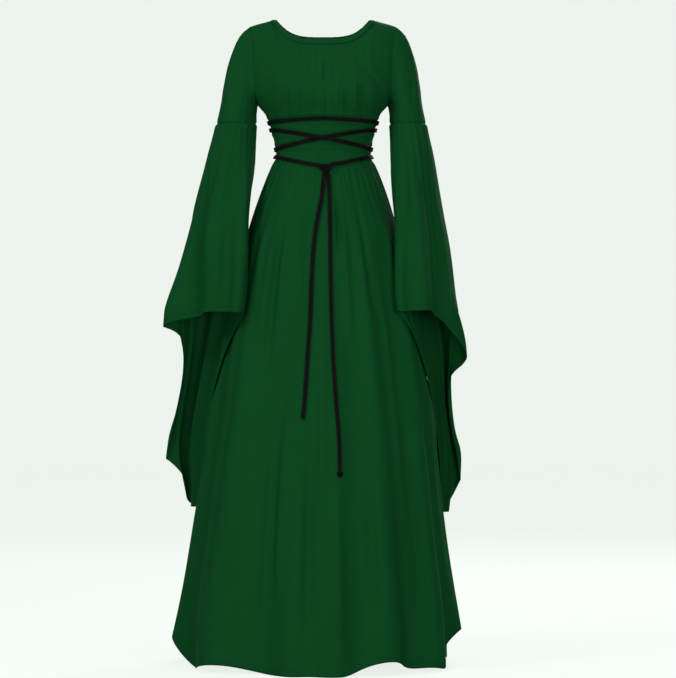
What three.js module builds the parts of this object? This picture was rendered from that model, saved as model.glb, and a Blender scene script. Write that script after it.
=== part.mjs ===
// A floor-length medieval gown, as it hangs on a general figure: a gathered bodice and skirt,
// two-part sleeves with long trumpet flares, and a flat lace wound twice round the waist.
// Millimetres, +Z up. The front faces -Y and the wearer's left is +X.
// The origin is midway between the two shoulder seams, where the wearer's shoulders hold the gown.
import * as THREE from "three";

// Driving sizes
const WALL = 1.6; // thickness of the cloth
const SEAM_GAP = 0.3; // between two pieces that are sewn together
const ARMHOLE_GAP = 0.4;
const CAP_ROUND = 0.66; // how full the sleeve's head is
const HEM_Z = -1445; // the floor, and the lowest stretch of the skirt's hem
const NECK_HALF = 115; // half the width of the neckline, at the neck points
const NECK_DROP = { front: 46, back: 41 }; // how far the neckline dips at its middle
const NECK_ROUND = 3.6; // power of the neckline's curve: flat in the middle, steep at its ends
const CASING_WIDTH = 9;
const CASING_WALL = 1.4;
const CASING_CLEAR = 0.5; // between the casing and the bodice under it
const SHOULDER_ROUND = 68; // height over which the shoulder rounds over into the chest
const SHOULDER_FALL = 14; // how far the shoulder seam drops from neck to tip
const NECK_TURN = 40.3; // angle round the body of the neck point
const TIP_TURN = 68; // angle round the body of the shoulder tip
const UNDERARM_Z = -190;
const WAIST_SIDE_Z = -307; // the waist seam at the sides and back
const WAIST_POINT = 26; // how far that seam dips at the front
const WAIST_GAP = 0.6;
const ELBOW_Z = -232; // the seam between upper sleeve and flare
const SLEEVE_CLEAR = 5; // least gap between a flare and the skirt beside it
const LACE_WIDTH = 9.5;
const LACE_THICK = 4.6;
const LACE_SIDES = 8; // flats of the lace's section
const LACE_CLEAR = 2; // between the lace and the cloth under it

// The body of the gown at each height: half-widths on the wearer's left and right, depths front and back
const BODY = [
  { z: 20, left: 178, right: 178, front: 58, back: 54 },
  { z: -20, left: 178, right: 178, front: 62, back: 60 },
  { z: -60, left: 178, right: 178, front: 71, back: 74 },
  { z: -100, left: 176, right: 176, front: 88, back: 84 },
  { z: -150, left: 168, right: 168, front: 102, back: 88 },
  { z: -175, left: 157, right: 157, front: 104, back: 87 },
  { z: -190, left: 147, right: 147, front: 102, back: 84 },
  { z: -205, left: 132, right: 133, front: 97, back: 81 },
  { z: -223, left: 122, right: 121, front: 90, back: 77 },
  { z: -245, left: 116, right: 115, front: 84, back: 73 },
  { z: -268, left: 112, right: 110, front: 80, back: 71 },
  { z: -302, left: 105, right: 102, front: 78, back: 71 },
  { z: -313, left: 110, right: 108, front: 81, back: 74 },
  { z: -335, left: 121, right: 118, front: 90, back: 84 },
  { z: -380, left: 139, right: 136, front: 108, back: 103 },
  { z: -425, left: 156, right: 154, front: 124, back: 124 },
  { z: -493, left: 175, right: 174, front: 141, back: 144 },
  { z: -583, left: 195, right: 195, front: 161, back: 166 },
  { z: -700, left: 216, right: 217, front: 182, back: 188 },
  { z: -850, left: 240, right: 243, front: 208, back: 215 },
  { z: -1000, left: 260, right: 266, front: 234, back: 242 },
  { z: -1123, left: 270, right: 284, front: 253, back: 262 },
  { z: -1213, left: 282, right: 296, front: 266, back: 276 },
  { z: -1303, left: 293, right: 311, front: 278, back: 288 },
  { z: -1381, left: 303, right: 327, front: 287, back: 297 },
  { z: -1450, left: 300, right: 320, front: 294, back: 303 },
];

// Soft fullness of the bodice front, cut and gathered in above the lace
const FULLNESS = { x: 72, z: -150, reach: 46, depth: 8 };

// The armhole's edge, from shoulder tip to underarm: angle round the body, and height
const ARMHOLE = [
  { turn: TIP_TURN, z: -SHOULDER_FALL },
  { turn: 62.5, z: -48 },
  { turn: 61.5, z: -78 },
  { turn: 62, z: -108 },
  { turn: 63.5, z: -138 },
  { turn: 68, z: -162 },
  { turn: 77, z: -180 },
  { turn: 90, z: UNDERARM_Z },
];

// Skirt folds: angle round the body, depth at the hem (ridges out, troughs in), half-width, first height
const SKIRT_FOLDS = [
  { turn: -49, depth: 20, half: 9, from: -420 },
  { turn: -25, depth: -26, half: 11, from: -480 },
  { turn: -13, depth: 14, half: 7, from: -560 },
  { turn: -5, depth: -8, half: 5, from: -760 },
  { turn: 5, depth: 14, half: 8, from: -520 },
  { turn: 16, depth: -13, half: 7, from: -600 },
  { turn: 29, depth: 19, half: 8, from: -440 },
  { turn: 41, depth: -20, half: 8, from: -500 },
  { turn: 56, depth: 20, half: 9, from: -400 },
  { turn: 71, depth: -20, half: 8, from: -700 },
  { turn: 86, depth: 12, half: 9, from: -900 },
  { turn: 103, depth: -18, half: 9, from: -600 },
  { turn: 119, depth: 20, half: 9, from: -420 },
  { turn: 134, depth: -22, half: 9, from: -520 },
  { turn: 149, depth: 17, half: 8, from: -460 },
  { turn: 163, depth: -19, half: 8, from: -560 },
  { turn: 177, depth: 22, half: 9, from: -400 },
  { turn: 193, depth: -24, half: 10, from: -500 },
  { turn: 209, depth: 18, half: 9, from: -440 },
  { turn: 223, depth: -17, half: 8, from: -620 },
  { turn: 238, depth: 21, half: 9, from: -420 },
  { turn: 255, depth: -19, half: 9, from: -640 },
  { turn: 272, depth: 14, half: 9, from: -900 },
  { turn: 289, depth: -20, half: 8, from: -700 },
];

// Where folds lift the hem off the floor, most of all at the two sides
const HEM_LIFTS = [
  { turn: -90, rise: 64, half: 20 },
  { turn: -44, rise: 18, half: 24 },
  { turn: 28, rise: 30, half: 21 },
  { turn: 50, rise: 10, half: 12 },
  { turn: 85, rise: 80, half: 31 },
  { turn: 135, rise: 16, half: 18 },
  { turn: 170, rise: 8, half: 14 },
  { turn: 212, rise: 14, half: 17 },
  { turn: 240, rise: 10, half: 12 },
];

// Each sleeve below the elbow: nearest and furthest reach from the middle of the body, half its depth
// from front to back, and the place of its middle in that direction
const FLARE_LEFT = [
  { z: -232, inner: 151, outer: 231, depth: 50, middle: -2 },
  { z: -268, inner: 152, outer: 241, depth: 53, middle: -5 },
  { z: -313, inner: 152, outer: 252, depth: 58, middle: -10 },
  { z: -358, inner: 154, outer: 259, depth: 64, middle: -17 },
  { z: -425, inner: 160, outer: 271, depth: 74, middle: -28 },
  { z: -493, inner: 160, outer: 283, depth: 82, middle: -40 },
  { z: -583, inner: 160, outer: 293, depth: 90, middle: -52 },
  { z: -650, inner: 164, outer: 295, depth: 94, middle: -54 },
  { z: -700, inner: 182, outer: 293, depth: 92, middle: -40 },
  { z: -760, inner: 206, outer: 292, depth: 86, middle: -16 },
  { z: -850, inner: 228, outer: 290, depth: 78, middle: 8 },
  { z: -943, inner: 240, outer: 300, depth: 74, middle: 20 },
  { z: -1010, inner: 248, outer: 306, depth: 70, middle: 26 },
  { z: -1060, inner: 252, outer: 296, depth: 66, middle: 30 },
  { z: -1115, inner: 254, outer: 288, depth: 62, middle: 34 },
];
const FLARE_RIGHT = [
  { z: -232, inner: 150, outer: 238, depth: 50, middle: -2 },
  { z: -268, inner: 151, outer: 250, depth: 54, middle: -5 },
  { z: -313, inner: 152, outer: 263, depth: 60, middle: -11 },
  { z: -358, inner: 154, outer: 274, depth: 66, middle: -18 },
  { z: -425, inner: 163, outer: 293, depth: 76, middle: -28 },
  { z: -493, inner: 165, outer: 303, depth: 84, middle: -40 },
  { z: -583, inner: 166, outer: 306, depth: 92, middle: -52 },
  { z: -650, inner: 170, outer: 313, depth: 96, middle: -54 },
  { z: -700, inner: 186, outer: 313, depth: 94, middle: -40 },
  { z: -760, inner: 210, outer: 318, depth: 88, middle: -16 },
  { z: -850, inner: 232, outer: 332, depth: 80, middle: 8 },
  { z: -943, inner: 246, outer: 345, depth: 76, middle: 20 },
  { z: -985, inner: 252, outer: 346, depth: 73, middle: 24 },
  { z: -1033, inner: 256, outer: 328, depth: 70, middle: 27 },
  { z: -1090, inner: 262, outer: 324, depth: 66, middle: 30 },
];

// The slanting mouth of each flare: angle round the sleeve (0 front, 90 outer, 180 back), and height
const MOUTH_LEFT = [
  { turn: 0, z: -652 },
  { turn: 30, z: -666 },
  { turn: 50, z: -704 },
  { turn: 66, z: -752 },
  { turn: 78, z: -784 },
  { turn: 88, z: -826 },
  { turn: 94, z: -920 },
  { turn: 101, z: -1012 },
  { turn: 116, z: -1044 },
  { turn: 132, z: -1076 },
  { turn: 152, z: -1108 },
  { turn: 184, z: -1110 },
  { turn: 212, z: -1092 },
  { turn: 234, z: -1010 },
  { turn: 248, z: -870 },
  { turn: 261, z: -730 },
  { turn: 273, z: -672 },
  { turn: 290, z: -655 },
  { turn: 360, z: -652 },
];
const MOUTH_RIGHT = [
  { turn: 0, z: -655 },
  { turn: 30, z: -662 },
  { turn: 50, z: -672 },
  { turn: 66, z: -686 },
  { turn: 76, z: -700 },
  { turn: 86, z: -735 },
  { turn: 93, z: -860 },
  { turn: 101, z: -968 },
  { turn: 114, z: -996 },
  { turn: 130, z: -1038 },
  { turn: 147, z: -1084 },
  { turn: 170, z: -1096 },
  { turn: 204, z: -1096 },
  { turn: 228, z: -1044 },
  { turn: 244, z: -920 },
  { turn: 258, z: -748 },
  { turn: 272, z: -678 },
  { turn: 290, z: -658 },
  { turn: 360, z: -655 },
];

// Folds of the flares: angle, depth, half-width, and the heights between which each grows and fades
const FLARE_FOLDS_LEFT = [
  { turn: -62, depth: 7, half: 15, from: -300, full: -560 },
  { turn: -38, depth: -10, half: 13, from: -330, full: -600 },
  { turn: -2, depth: 13, half: 17, from: -250, full: -560 },
  { turn: 24, depth: -13, half: 13, from: -270, full: -600 },
  { turn: 66, depth: 38, half: 17, from: -580, full: -755, gone: -826 },
  { turn: 96, depth: -9, half: 14, from: -400, full: -640 },
  { turn: 108, depth: 14, half: 13, from: -880, full: -1010 },
  { turn: 128, depth: 9, half: 15, from: -380, full: -800 },
  { turn: 158, depth: -13, half: 15, from: -320, full: -700 },
  { turn: 188, depth: 12, half: 15, from: -300, full: -640 },
  { turn: 220, depth: -8, half: 14, from: -300, full: -560 },
];
const FLARE_FOLDS_RIGHT = [
  { turn: -50, depth: 8, half: 16, from: -300, full: -560 },
  { turn: -21, depth: -12, half: 14, from: -330, full: -580 },
  { turn: 8, depth: 12, half: 15, from: -250, full: -540 },
  { turn: 35, depth: -14, half: 14, from: -270, full: -600 },
  { turn: 66, depth: 50, half: 17, from: -430, full: -684, gone: -735 },
  { turn: 96, depth: -8, half: 13, from: -380, full: -620 },
  { turn: 106, depth: 18, half: 14, from: -820, full: -975 },
  { turn: 130, depth: -9, half: 15, from: -360, full: -760 },
  { turn: 160, depth: 13, half: 15, from: -300, full: -700 },
  { turn: 190, depth: -14, half: 15, from: -320, full: -640 },
  { turn: 222, depth: 8, half: 14, from: -300, full: -560 },
];
// Degrees by which a flare's inner edge is turned forward of the skirt's side, reached this far below
// the elbow
const FLARE_SKEW = { angle: 36, reach: 200 };

// The lace's route, from the middle of the front round the wearer's left: angles, heights, and
// whether a stretch is straight as seen from the front
const LACE_LEGS = [
  { start: 0, end: 90, high: -224, low: -229, steps: 7, straight: true },
  { start: 90, end: 150, high: -229, low: -232, steps: 5 },
  { start: 150, end: 210, high: -232, low: -242, steps: 4 },
  { start: 210, end: 270, high: -242, low: -245.5, steps: 5 },
  { start: 270, end: 450, high: -245.5, low: -289, steps: 14, straight: true },
  { start: 450, end: 510, high: -289, low: -291, steps: 5 },
  { start: 510, end: 570, high: -291, low: -303, steps: 4 },
  { start: 570, end: 630, high: -303, low: -308.5, steps: 5 },
  { start: 630, end: 720, high: -308.5, low: -335, steps: 7, straight: true },
];
// Where the left-hand strand rides over the other: the middle of the crossing, how far to each side of
// it the strand stays up, and the length of the slope down to the cloth, in degrees
const LACE_CROSSINGS = [
  { turn: 180, full: 31, ramp: 16 },
  { turn: 360, full: 15, ramp: 16 },
  { turn: 540, full: 31, ramp: 16 },
];
const LACE_HUMP = LACE_THICK + 0.6; // how much higher the strand on top lies at a crossing
const LAST_TURN = 720; // degrees at which both strands are back at the middle of the front
const LACE_START = 0.2; // degrees from the middle of the front at which each strand starts
const TAIL_CLEAR = 1.2; // between the free ends and the gathered skirt under them
const KNOT_RISE = { reach: 16, height: 5 }; // how the lace climbs into the knot, in degrees and mm
// The knot, and the places along it where the left-hand and the right-hand strand end
const KNOT = { x: 7, z: -337, width: 31, height: 27, thick: 13, clear: 1.6, left: -7, right: 18.9 };
// The two free ends, from the knot down
const TAIL_LEFT = [
  { x: 13, z: -350.6 },
  { x: 14.5, z: -376 },
  { x: 15.5, z: -403 },
  { x: 16.5, z: -448 },
  { x: 17, z: -493 },
  { x: 17.5, z: -538 },
  { x: 18, z: -583 },
  { x: 19, z: -628 },
  { x: 20, z: -673 },
  { x: 22, z: -718 },
  { x: 24, z: -763 },
  { x: 27, z: -808 },
  { x: 30, z: -853 },
  { x: 34, z: -898 },
  { x: 37, z: -943 },
  { x: 38, z: -975 },
  { x: 38.5, z: -1001.3 },
];
const TAIL_RIGHT = [
  { x: 3, z: -350.8 },
  { x: 0.5, z: -376 },
  { x: -2.5, z: -403 },
  { x: -11, z: -448 },
  { x: -18, z: -493 },
  { x: -21.5, z: -538 },
  { x: -24, z: -583 },
  { x: -25.5, z: -628 },
  { x: -27, z: -673 },
  { x: -30, z: -718 },
  { x: -33, z: -763 },
  { x: -36, z: -808 },
  { x: -39, z: -853 },
  { x: -42.5, z: -889 },
];
const END_KNOT = { x: 38.7, z: -1009, width: 17, height: 16, thick: 12, clear: 0.6 };

// Number of columns and rows in each panel's mesh
const NECK_COLUMNS = 12;
const SHOULDER_COLUMNS = 6;
const ARMHOLE_ROWS = 8;
const SIDE_ROWS = 6;
const CASING_COLUMNS = 26;
const SKIRT_COLUMNS = 44;
const SKIRT_ROWS = [0, 0.025, 0.07, 0.15, 0.25, 0.37, 0.5, 0.63, 0.76, 0.89, 1];
const SLEEVE_ROWS = 7;
const MITRE_LIMIT = 2; // longest end face at a seam, in wall thicknesses
const FLARE_COLUMNS = 36;
const FLARE_ROWS = [0, 0.05, 0.13, 0.24, 0.36, 0.48, 0.6, 0.72, 0.83, 0.92, 1];

// Gathers: height of the small ripples, where they are highest, and how soon they die away. The places
// of those at neck and waist are shares of the way from the panel's top edge to its bottom edge; the
// others are heights.
const NECK_GATHER = { height: 1.3, at: 0.16, reach: 0.13 };
const BUST_GATHER = { height: 1.2, at: -188, reach: 24 };
const SKIRT_GATHER = { height: 1.8, at: 0.025, reach: 0.09 };
const FLARE_GATHER = { height: 1.6, at: -257, reach: 60 };

const radians = THREE.MathUtils.degToRad;

// A smooth curve through one column of a table whose rows run by another column
function along(rows, key, by, at) {
  const sign = Math.sign(rows[rows.length - 1][by] - rows[0][by]);
  let i = 0;
  while (i < rows.length - 2 && (at - rows[i + 1][by]) * sign > 0) i += 1;
  const a = rows[i];
  const b = rows[i + 1];
  const span = b[by] - a[by];
  const t = THREE.MathUtils.clamp((at - a[by]) / span, 0, 1);
  const slope = (p, q) => (q[key] - p[key]) / (q[by] - p[by]);
  const before = i > 0 ? slope(rows[i - 1], a) : slope(a, b);
  const after = i < rows.length - 2 ? slope(b, rows[i + 2]) : slope(a, b);
  const here = slope(a, b);
  const flat = (m) => (m * here <= 0 ? 0 : (2 * m * here) / (m + here));
  const m0 = flat(before) * span;
  const m1 = flat(after) * span;
  const t2 = t * t;
  const t3 = t2 * t;
  return (
    a[key] * (2 * t3 - 3 * t2 + 1) + m0 * (t3 - 2 * t2 + t) + b[key] * (3 * t2 - 2 * t3) + m1 * (t3 - t2)
  );
}

// Degrees between two angles, the short way round
function apart(a, b) {
  return Math.abs(THREE.MathUtils.euclideanModulo(a - b + 180, 360) - 180);
}

function bump(distance, half) {
  return Math.exp(-((distance / half) ** 2));
}

// Height of the shoulder seam at an angle round the body
function shoulderSeam(turn) {
  const fromMiddle = THREE.MathUtils.radToDeg(Math.acos(Math.abs(Math.cos(radians(turn)))));
  const run = THREE.MathUtils.clamp((fromMiddle - NECK_TURN) / (TIP_TURN - NECK_TURN), 0, 1);
  return -SHOULDER_FALL * run;
}

// Depth of the body near the shoulder as a share of its full depth: a quarter circle over the shoulder
function shoulderRounding(turn, z) {
  const below = THREE.MathUtils.clamp((shoulderSeam(turn) - z) / SHOULDER_ROUND, 0, 1);
  return Math.sqrt(1 - (1 - below) ** 2);
}

// How far the skirt's folds push its surface out at an angle and height
function skirtFold(turn, z) {
  let depth = 0;
  for (const fold of SKIRT_FOLDS) {
    const grown = THREE.MathUtils.clamp((fold.from - z) / (fold.from - HEM_Z), 0, 1);
    depth += fold.depth * bump(apart(turn, fold.turn), fold.half) * grown ** 0.8;
  }
  return depth;
}

// The outer surface of bodice and skirt: angle round the body (0 front, 90 the wearer's left) and height
function bodyAt(turn, z) {
  const side = Math.sin(radians(turn));
  const face = Math.cos(radians(turn));
  const halfWidth = along(BODY, side >= 0 ? "left" : "right", "z", z);
  const depth = along(BODY, face >= 0 ? "front" : "back", "z", z) * shoulderRounding(turn, z);
  const stretch = 1 + (2 * skirtFold(turn, z)) / (halfWidth + depth);
  const x = halfWidth * stretch * side;
  let y = -depth * stretch * face;
  if (face > 0) {
    const reach = FULLNESS.reach;
    const left = Math.hypot(x - FULLNESS.x, z - FULLNESS.z);
    const right = Math.hypot(x + FULLNESS.x, z - FULLNESS.z);
    y -= FULLNESS.depth * face * (bump(left, reach) + bump(right, reach));
  }
  return new THREE.Vector3(x, y, z);
}

// The outward direction of that surface
function bodyNormal(turn, z) {
  const across = bodyAt(turn + 0.4, z).sub(bodyAt(turn - 0.4, z));
  const down = bodyAt(turn, z - 0.8).sub(bodyAt(turn, z + 0.8));
  return down.cross(across).normalize();
}

function waistSeam(turn) {
  const face = Math.cos(radians(turn));
  return WAIST_SIDE_Z - (face > 0 ? WAIST_POINT * face * face : 0);
}

function skirtHem(turn) {
  let z = HEM_Z;
  for (const lift of HEM_LIFTS) {
    const near = Math.min(apart(turn, lift.turn) / lift.half, 1);
    z += lift.rise * Math.cos((near * Math.PI) / 2) ** 2;
  }
  return z;
}

// Turns every face of a closed mesh outwards
function facingOut(positions, index) {
  let volume = 0;
  const corner = (i) => new THREE.Vector3().fromArray(positions, 3 * i);
  for (let i = 0; i < index.length; i += 3) {
    volume += corner(index[i]).dot(corner(index[i + 1]).cross(corner(index[i + 2])));
  }
  if (volume < 0) index.reverse();
  const geometry = new THREE.BufferGeometry();
  geometry.setAttribute("position", new THREE.Float32BufferAttribute(positions, 3));
  geometry.setIndex(index);
  return geometry;
}

// A wall of cloth: rows of points on its outer face, and the same points moved in by its thickness.
// With closed, each row runs all the way round.
function clothWall(rows, thickness, closed = false, lift = 0) {
  const columns = rows[0].length;
  const positions = [];
  for (const depth of [lift, lift - thickness]) {
    for (const row of rows) {
      for (const { point, normal } of row) {
        positions.push(...point.clone().addScaledVector(normal, depth).toArray());
      }
    }
  }
  const inner = rows.length * columns;
  const index = [];
  const quad = (a, b, c, d) => index.push(a, b, c, a, c, d);
  const steps = closed ? columns : columns - 1;
  for (let r = 0; r < rows.length - 1; r += 1) {
    for (let c = 0; c < steps; c += 1) {
      const [a, b] = [r * columns + c, r * columns + ((c + 1) % columns)];
      const [below, belowNext] = [a + columns, b + columns];
      quad(a, b, belowNext, below);
      quad(inner + a, inner + below, inner + belowNext, inner + b);
    }
  }
  const last = (rows.length - 1) * columns;
  for (let c = 0; c < steps; c += 1) {
    const next = (c + 1) % columns;
    quad(c, inner + c, inner + next, next);
    quad(last + c, last + next, inner + last + next, inner + last + c);
  }
  for (let r = 0; r < rows.length - 1 && !closed; r += 1) {
    const [a, b] = [r * columns, (r + 1) * columns];
    quad(a, b, inner + b, inner + a);
    quad(a + columns - 1, inner + a + columns - 1, inner + b + columns - 1, b + columns - 1);
  }
  return facingOut(positions, index);
}

// A flat oval lace along a line of points, each with the direction away from the cloth under it. Its
// section has flats at top, bottom and sides, so the ring of corners stands a little outside them.
function flatLace(line) {
  const section = [];
  const step = 360 / LACE_SIDES;
  const ring = 0.5 / Math.cos(radians(step / 2));
  for (let i = 0; i < LACE_SIDES; i += 1) {
    const turn = radians(step * (i + 0.5));
    section.push({ across: LACE_WIDTH * ring * Math.cos(turn), out: LACE_THICK * ring * Math.sin(turn) });
  }
  const positions = [];
  line.forEach(({ point, normal }, i) => {
    const ahead = line[Math.min(i + 1, line.length - 1)].point;
    const behind = line[Math.max(i - 1, 0)].point;
    const across = new THREE.Vector3().subVectors(ahead, behind).cross(normal).normalize();
    for (const corner of section) {
      const place = point.clone().addScaledVector(across, corner.across);
      positions.push(...place.addScaledVector(normal, corner.out).toArray());
    }
  });
  const index = [];
  for (let r = 0; r < line.length - 1; r += 1) {
    for (let c = 0; c < LACE_SIDES; c += 1) {
      const [a, b] = [LACE_SIDES * r + c, LACE_SIDES * r + ((c + 1) % LACE_SIDES)];
      index.push(a, b, b + LACE_SIDES, a, b + LACE_SIDES, a + LACE_SIDES);
    }
  }
  const end = LACE_SIDES * (line.length - 1);
  for (let c = 1; c < LACE_SIDES - 1; c += 1) {
    index.push(0, c + 1, c, end, end + c, end + c + 1);
  }
  return facingOut(positions, index);
}

// A point of the neckline or the shoulder seam, by its angle from the middle of the panel
function topEdge(face, turn) {
  if (Math.abs(turn) >= NECK_TURN) return shoulderSeam(turn);
  const across = Math.sin(radians(turn)) / Math.sin(radians(NECK_TURN));
  return -NECK_DROP[face] * (1 - Math.abs(across) ** NECK_ROUND);
}

// One bodice panel. Its rows run from armhole to armhole, and below them from side seam to side seam;
// its columns run from the neckline and shoulder seams down to the waist.
function bodicePanel(face) {
  const bodyTurn = (turn) => (face === "front" ? turn : 180 - turn);
  const edge = new THREE.SplineCurve(ARMHOLE.map(({ turn, z }) => new THREE.Vector2(turn, z)));
  const sides = [];
  for (let r = 0; r < ARMHOLE_ROWS; r += 1) sides.push(edge.getPointAt(r / ARMHOLE_ROWS));
  for (let r = 0; r <= SIDE_ROWS; r += 1) {
    sides.push(new THREE.Vector2(90, THREE.MathUtils.lerp(UNDERARM_Z, WAIST_SIDE_Z, r / SIDE_ROWS)));
  }
  const half = NECK_COLUMNS + SHOULDER_COLUMNS;
  return sides.map((side, r) => {
    const row = [];
    const down = (side.y + SHOULDER_FALL) / (WAIST_SIDE_Z + SHOULDER_FALL);
    for (let c = -half; c <= half; c += 1) {
      const beyond = Math.max(Math.abs(c) - NECK_COLUMNS, 0) / SHOULDER_COLUMNS;
      const within = Math.min(Math.abs(c), NECK_COLUMNS) / NECK_COLUMNS;
      const topTurn = Math.sign(c) * (NECK_TURN * within + (TIP_TURN - NECK_TURN) * beyond);
      const across = topTurn / TIP_TURN;
      const pulled = side.x - THREE.MathUtils.lerp(TIP_TURN, 90, down);
      const turn = bodyTurn(THREE.MathUtils.lerp(topTurn, 90 * across, down) + across * pulled);
      const z = THREE.MathUtils.lerp(topEdge(face, topTurn), waistSeam(bodyTurn(90 * across)), down);
      const point = bodyAt(turn, z);
      const normal = bodyNormal(turn, z);
      const atShoulder = r === 0 && within === 1;
      const atSide = Math.abs(c) === half && r >= ARMHOLE_ROWS;
      if (atShoulder || atSide) {
        normal.setY(0).normalize();
        point.y += face === "front" ? -SEAM_GAP / 2 : SEAM_GAP / 2;
      } else if (r > 0 && Math.abs(c) < half) {
        const neck = NECK_GATHER.height * bump(down - NECK_GATHER.at, NECK_GATHER.reach) * (1 - beyond);
        const bust = BUST_GATHER.height * bump(z - BUST_GATHER.at, BUST_GATHER.reach);
        point.addScaledVector(normal, (c % 2 === 0 ? 0.5 : -0.5) * (neck + bust));
      }
      if (r === sides.length - 1) normal.setZ(0).normalize();
      row.push({ point, normal });
    }
    return row;
  });
}

// The loop of an armhole's edge, from the shoulder tip down the front and up the back, each with the
// point behind it on the bodice
function armholeLoop(front, back, side) {
  const edgeOf = (rows, last) => {
    return rows.slice(0, ARMHOLE_ROWS + 1).map((row) => {
      const end = last ? row.length - 1 : 0;
      const edge = row[end];
      edge.behind = row[last ? end - 1 : 1].point;
      return edge;
    });
  };
  const down = edgeOf(front, side > 0);
  const up = edgeOf(back, side > 0).reverse();
  const loop = down.map((edge) => [edge]);
  loop[loop.length - 1].push(up[0]);
  up.slice(1, -1).forEach((edge) => loop.push([edge]));
  loop[0].push(up[up.length - 1]);
  return loop;
}

// The casing round the neck lies on the bodice's edge, and reaches its own width down from it
function neckCasing() {
  const edge = [];
  for (const face of ["front", "back"]) {
    for (let c = -CASING_COLUMNS / 2; c < CASING_COLUMNS / 2; c += 1) {
      const turn = (NECK_TURN * 2 * c) / CASING_COLUMNS;
      const z = topEdge(face, turn);
      edge.push({ turn: face === "front" ? turn : 180 + turn, z });
    }
  }
  const points = edge.map(({ turn, z }) => bodyAt(turn, z));
  const normals = edge.map(({ turn, z }) => {
    const normal = bodyNormal(turn, z);
    if (z > -SEAM_GAP) normal.setY(0).normalize();
    return normal;
  });
  const lower = points.map((point, i) => {
    const ahead = points[(i + 1) % points.length];
    const behind = points[(i + points.length - 1) % points.length];
    const down = new THREE.Vector3().subVectors(behind, ahead).cross(normals[i]).normalize();
    const aim = point.clone().addScaledVector(down, CASING_WIDTH);
    const front = Math.cos(radians(edge[i].turn)) > 0;
    const sine = THREE.MathUtils.clamp(aim.x / along(BODY, "left", "z", aim.z), -1, 1);
    const turn = THREE.MathUtils.radToDeg(Math.asin(sine));
    const z = Math.min(aim.z, shoulderSeam(turn));
    const bodyTurn = front ? turn : 180 - turn;
    const normal = bodyNormal(bodyTurn, z);
    if (z > shoulderSeam(turn) - SEAM_GAP) normal.setY(0).normalize();
    return { point: bodyAt(bodyTurn, z), normal };
  });
  return [points.map((point, i) => ({ point, normal: normals[i] })), lower];
}

// A point of a flare's section; round runs 0 front, 90 outer, 180 back, 270 inner
function flareAt(flare, side, round, z) {
  const inner = along(flare.sections, "inner", "z", z);
  const outer = along(flare.sections, "outer", "z", z);
  const depth = along(flare.sections, "depth", "z", z);
  const middle = along(flare.sections, "middle", "z", z);
  const skew = FLARE_SKEW.angle * THREE.MathUtils.smoothstep(ELBOW_Z - z, 0, FLARE_SKEW.reach);
  const width = (outer - inner) / 2;
  const out = new THREE.Vector2(
    depth * Math.sin(radians(round + skew)),
    -width * Math.cos(radians(round)),
  ).normalize();
  let swell = 0;
  for (const fold of flare.folds) {
    let grown = THREE.MathUtils.smoothstep(fold.from - z, 0, fold.from - fold.full);
    if (fold.gone) grown *= 1 - THREE.MathUtils.smoothstep(fold.full - z, 0, fold.full - fold.gone);
    swell += fold.depth * grown * bump(apart(round, fold.turn), fold.half);
  }
  let x = (inner + outer) / 2 + width * Math.sin(radians(round)) + swell * out.x;
  let y = middle - depth * Math.cos(radians(round + skew)) + swell * out.y;
  // Where the flare lies against the side of the gown, it rests just clear of it
  const halfWidth = along(BODY, side > 0 ? "left" : "right", "z", z);
  const bodyDepth = along(BODY, y < 0 ? "front" : "back", "z", z);
  const turn = side * THREE.MathUtils.radToDeg(Math.atan2(x / halfWidth, -y / bodyDepth));
  const gap = Math.max(skirtFold(turn, z), 0) + SLEEVE_CLEAR;
  const clear = 1 + gap / Math.min(halfWidth, bodyDepth);
  const share = Math.hypot(x / halfWidth, y / bodyDepth);
  if (share < clear) {
    x *= clear / share;
    y *= clear / share;
  }
  return new THREE.Vector3(side * x, y, z);
}

function flareNormal(flare, side, round, z) {
  const across = flareAt(flare, side, round + 1, z).sub(flareAt(flare, side, round - 1, z));
  const down = flareAt(flare, side, round, z - 1).sub(flareAt(flare, side, round, z + 1));
  return down.cross(across).multiplyScalar(side).normalize();
}

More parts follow.
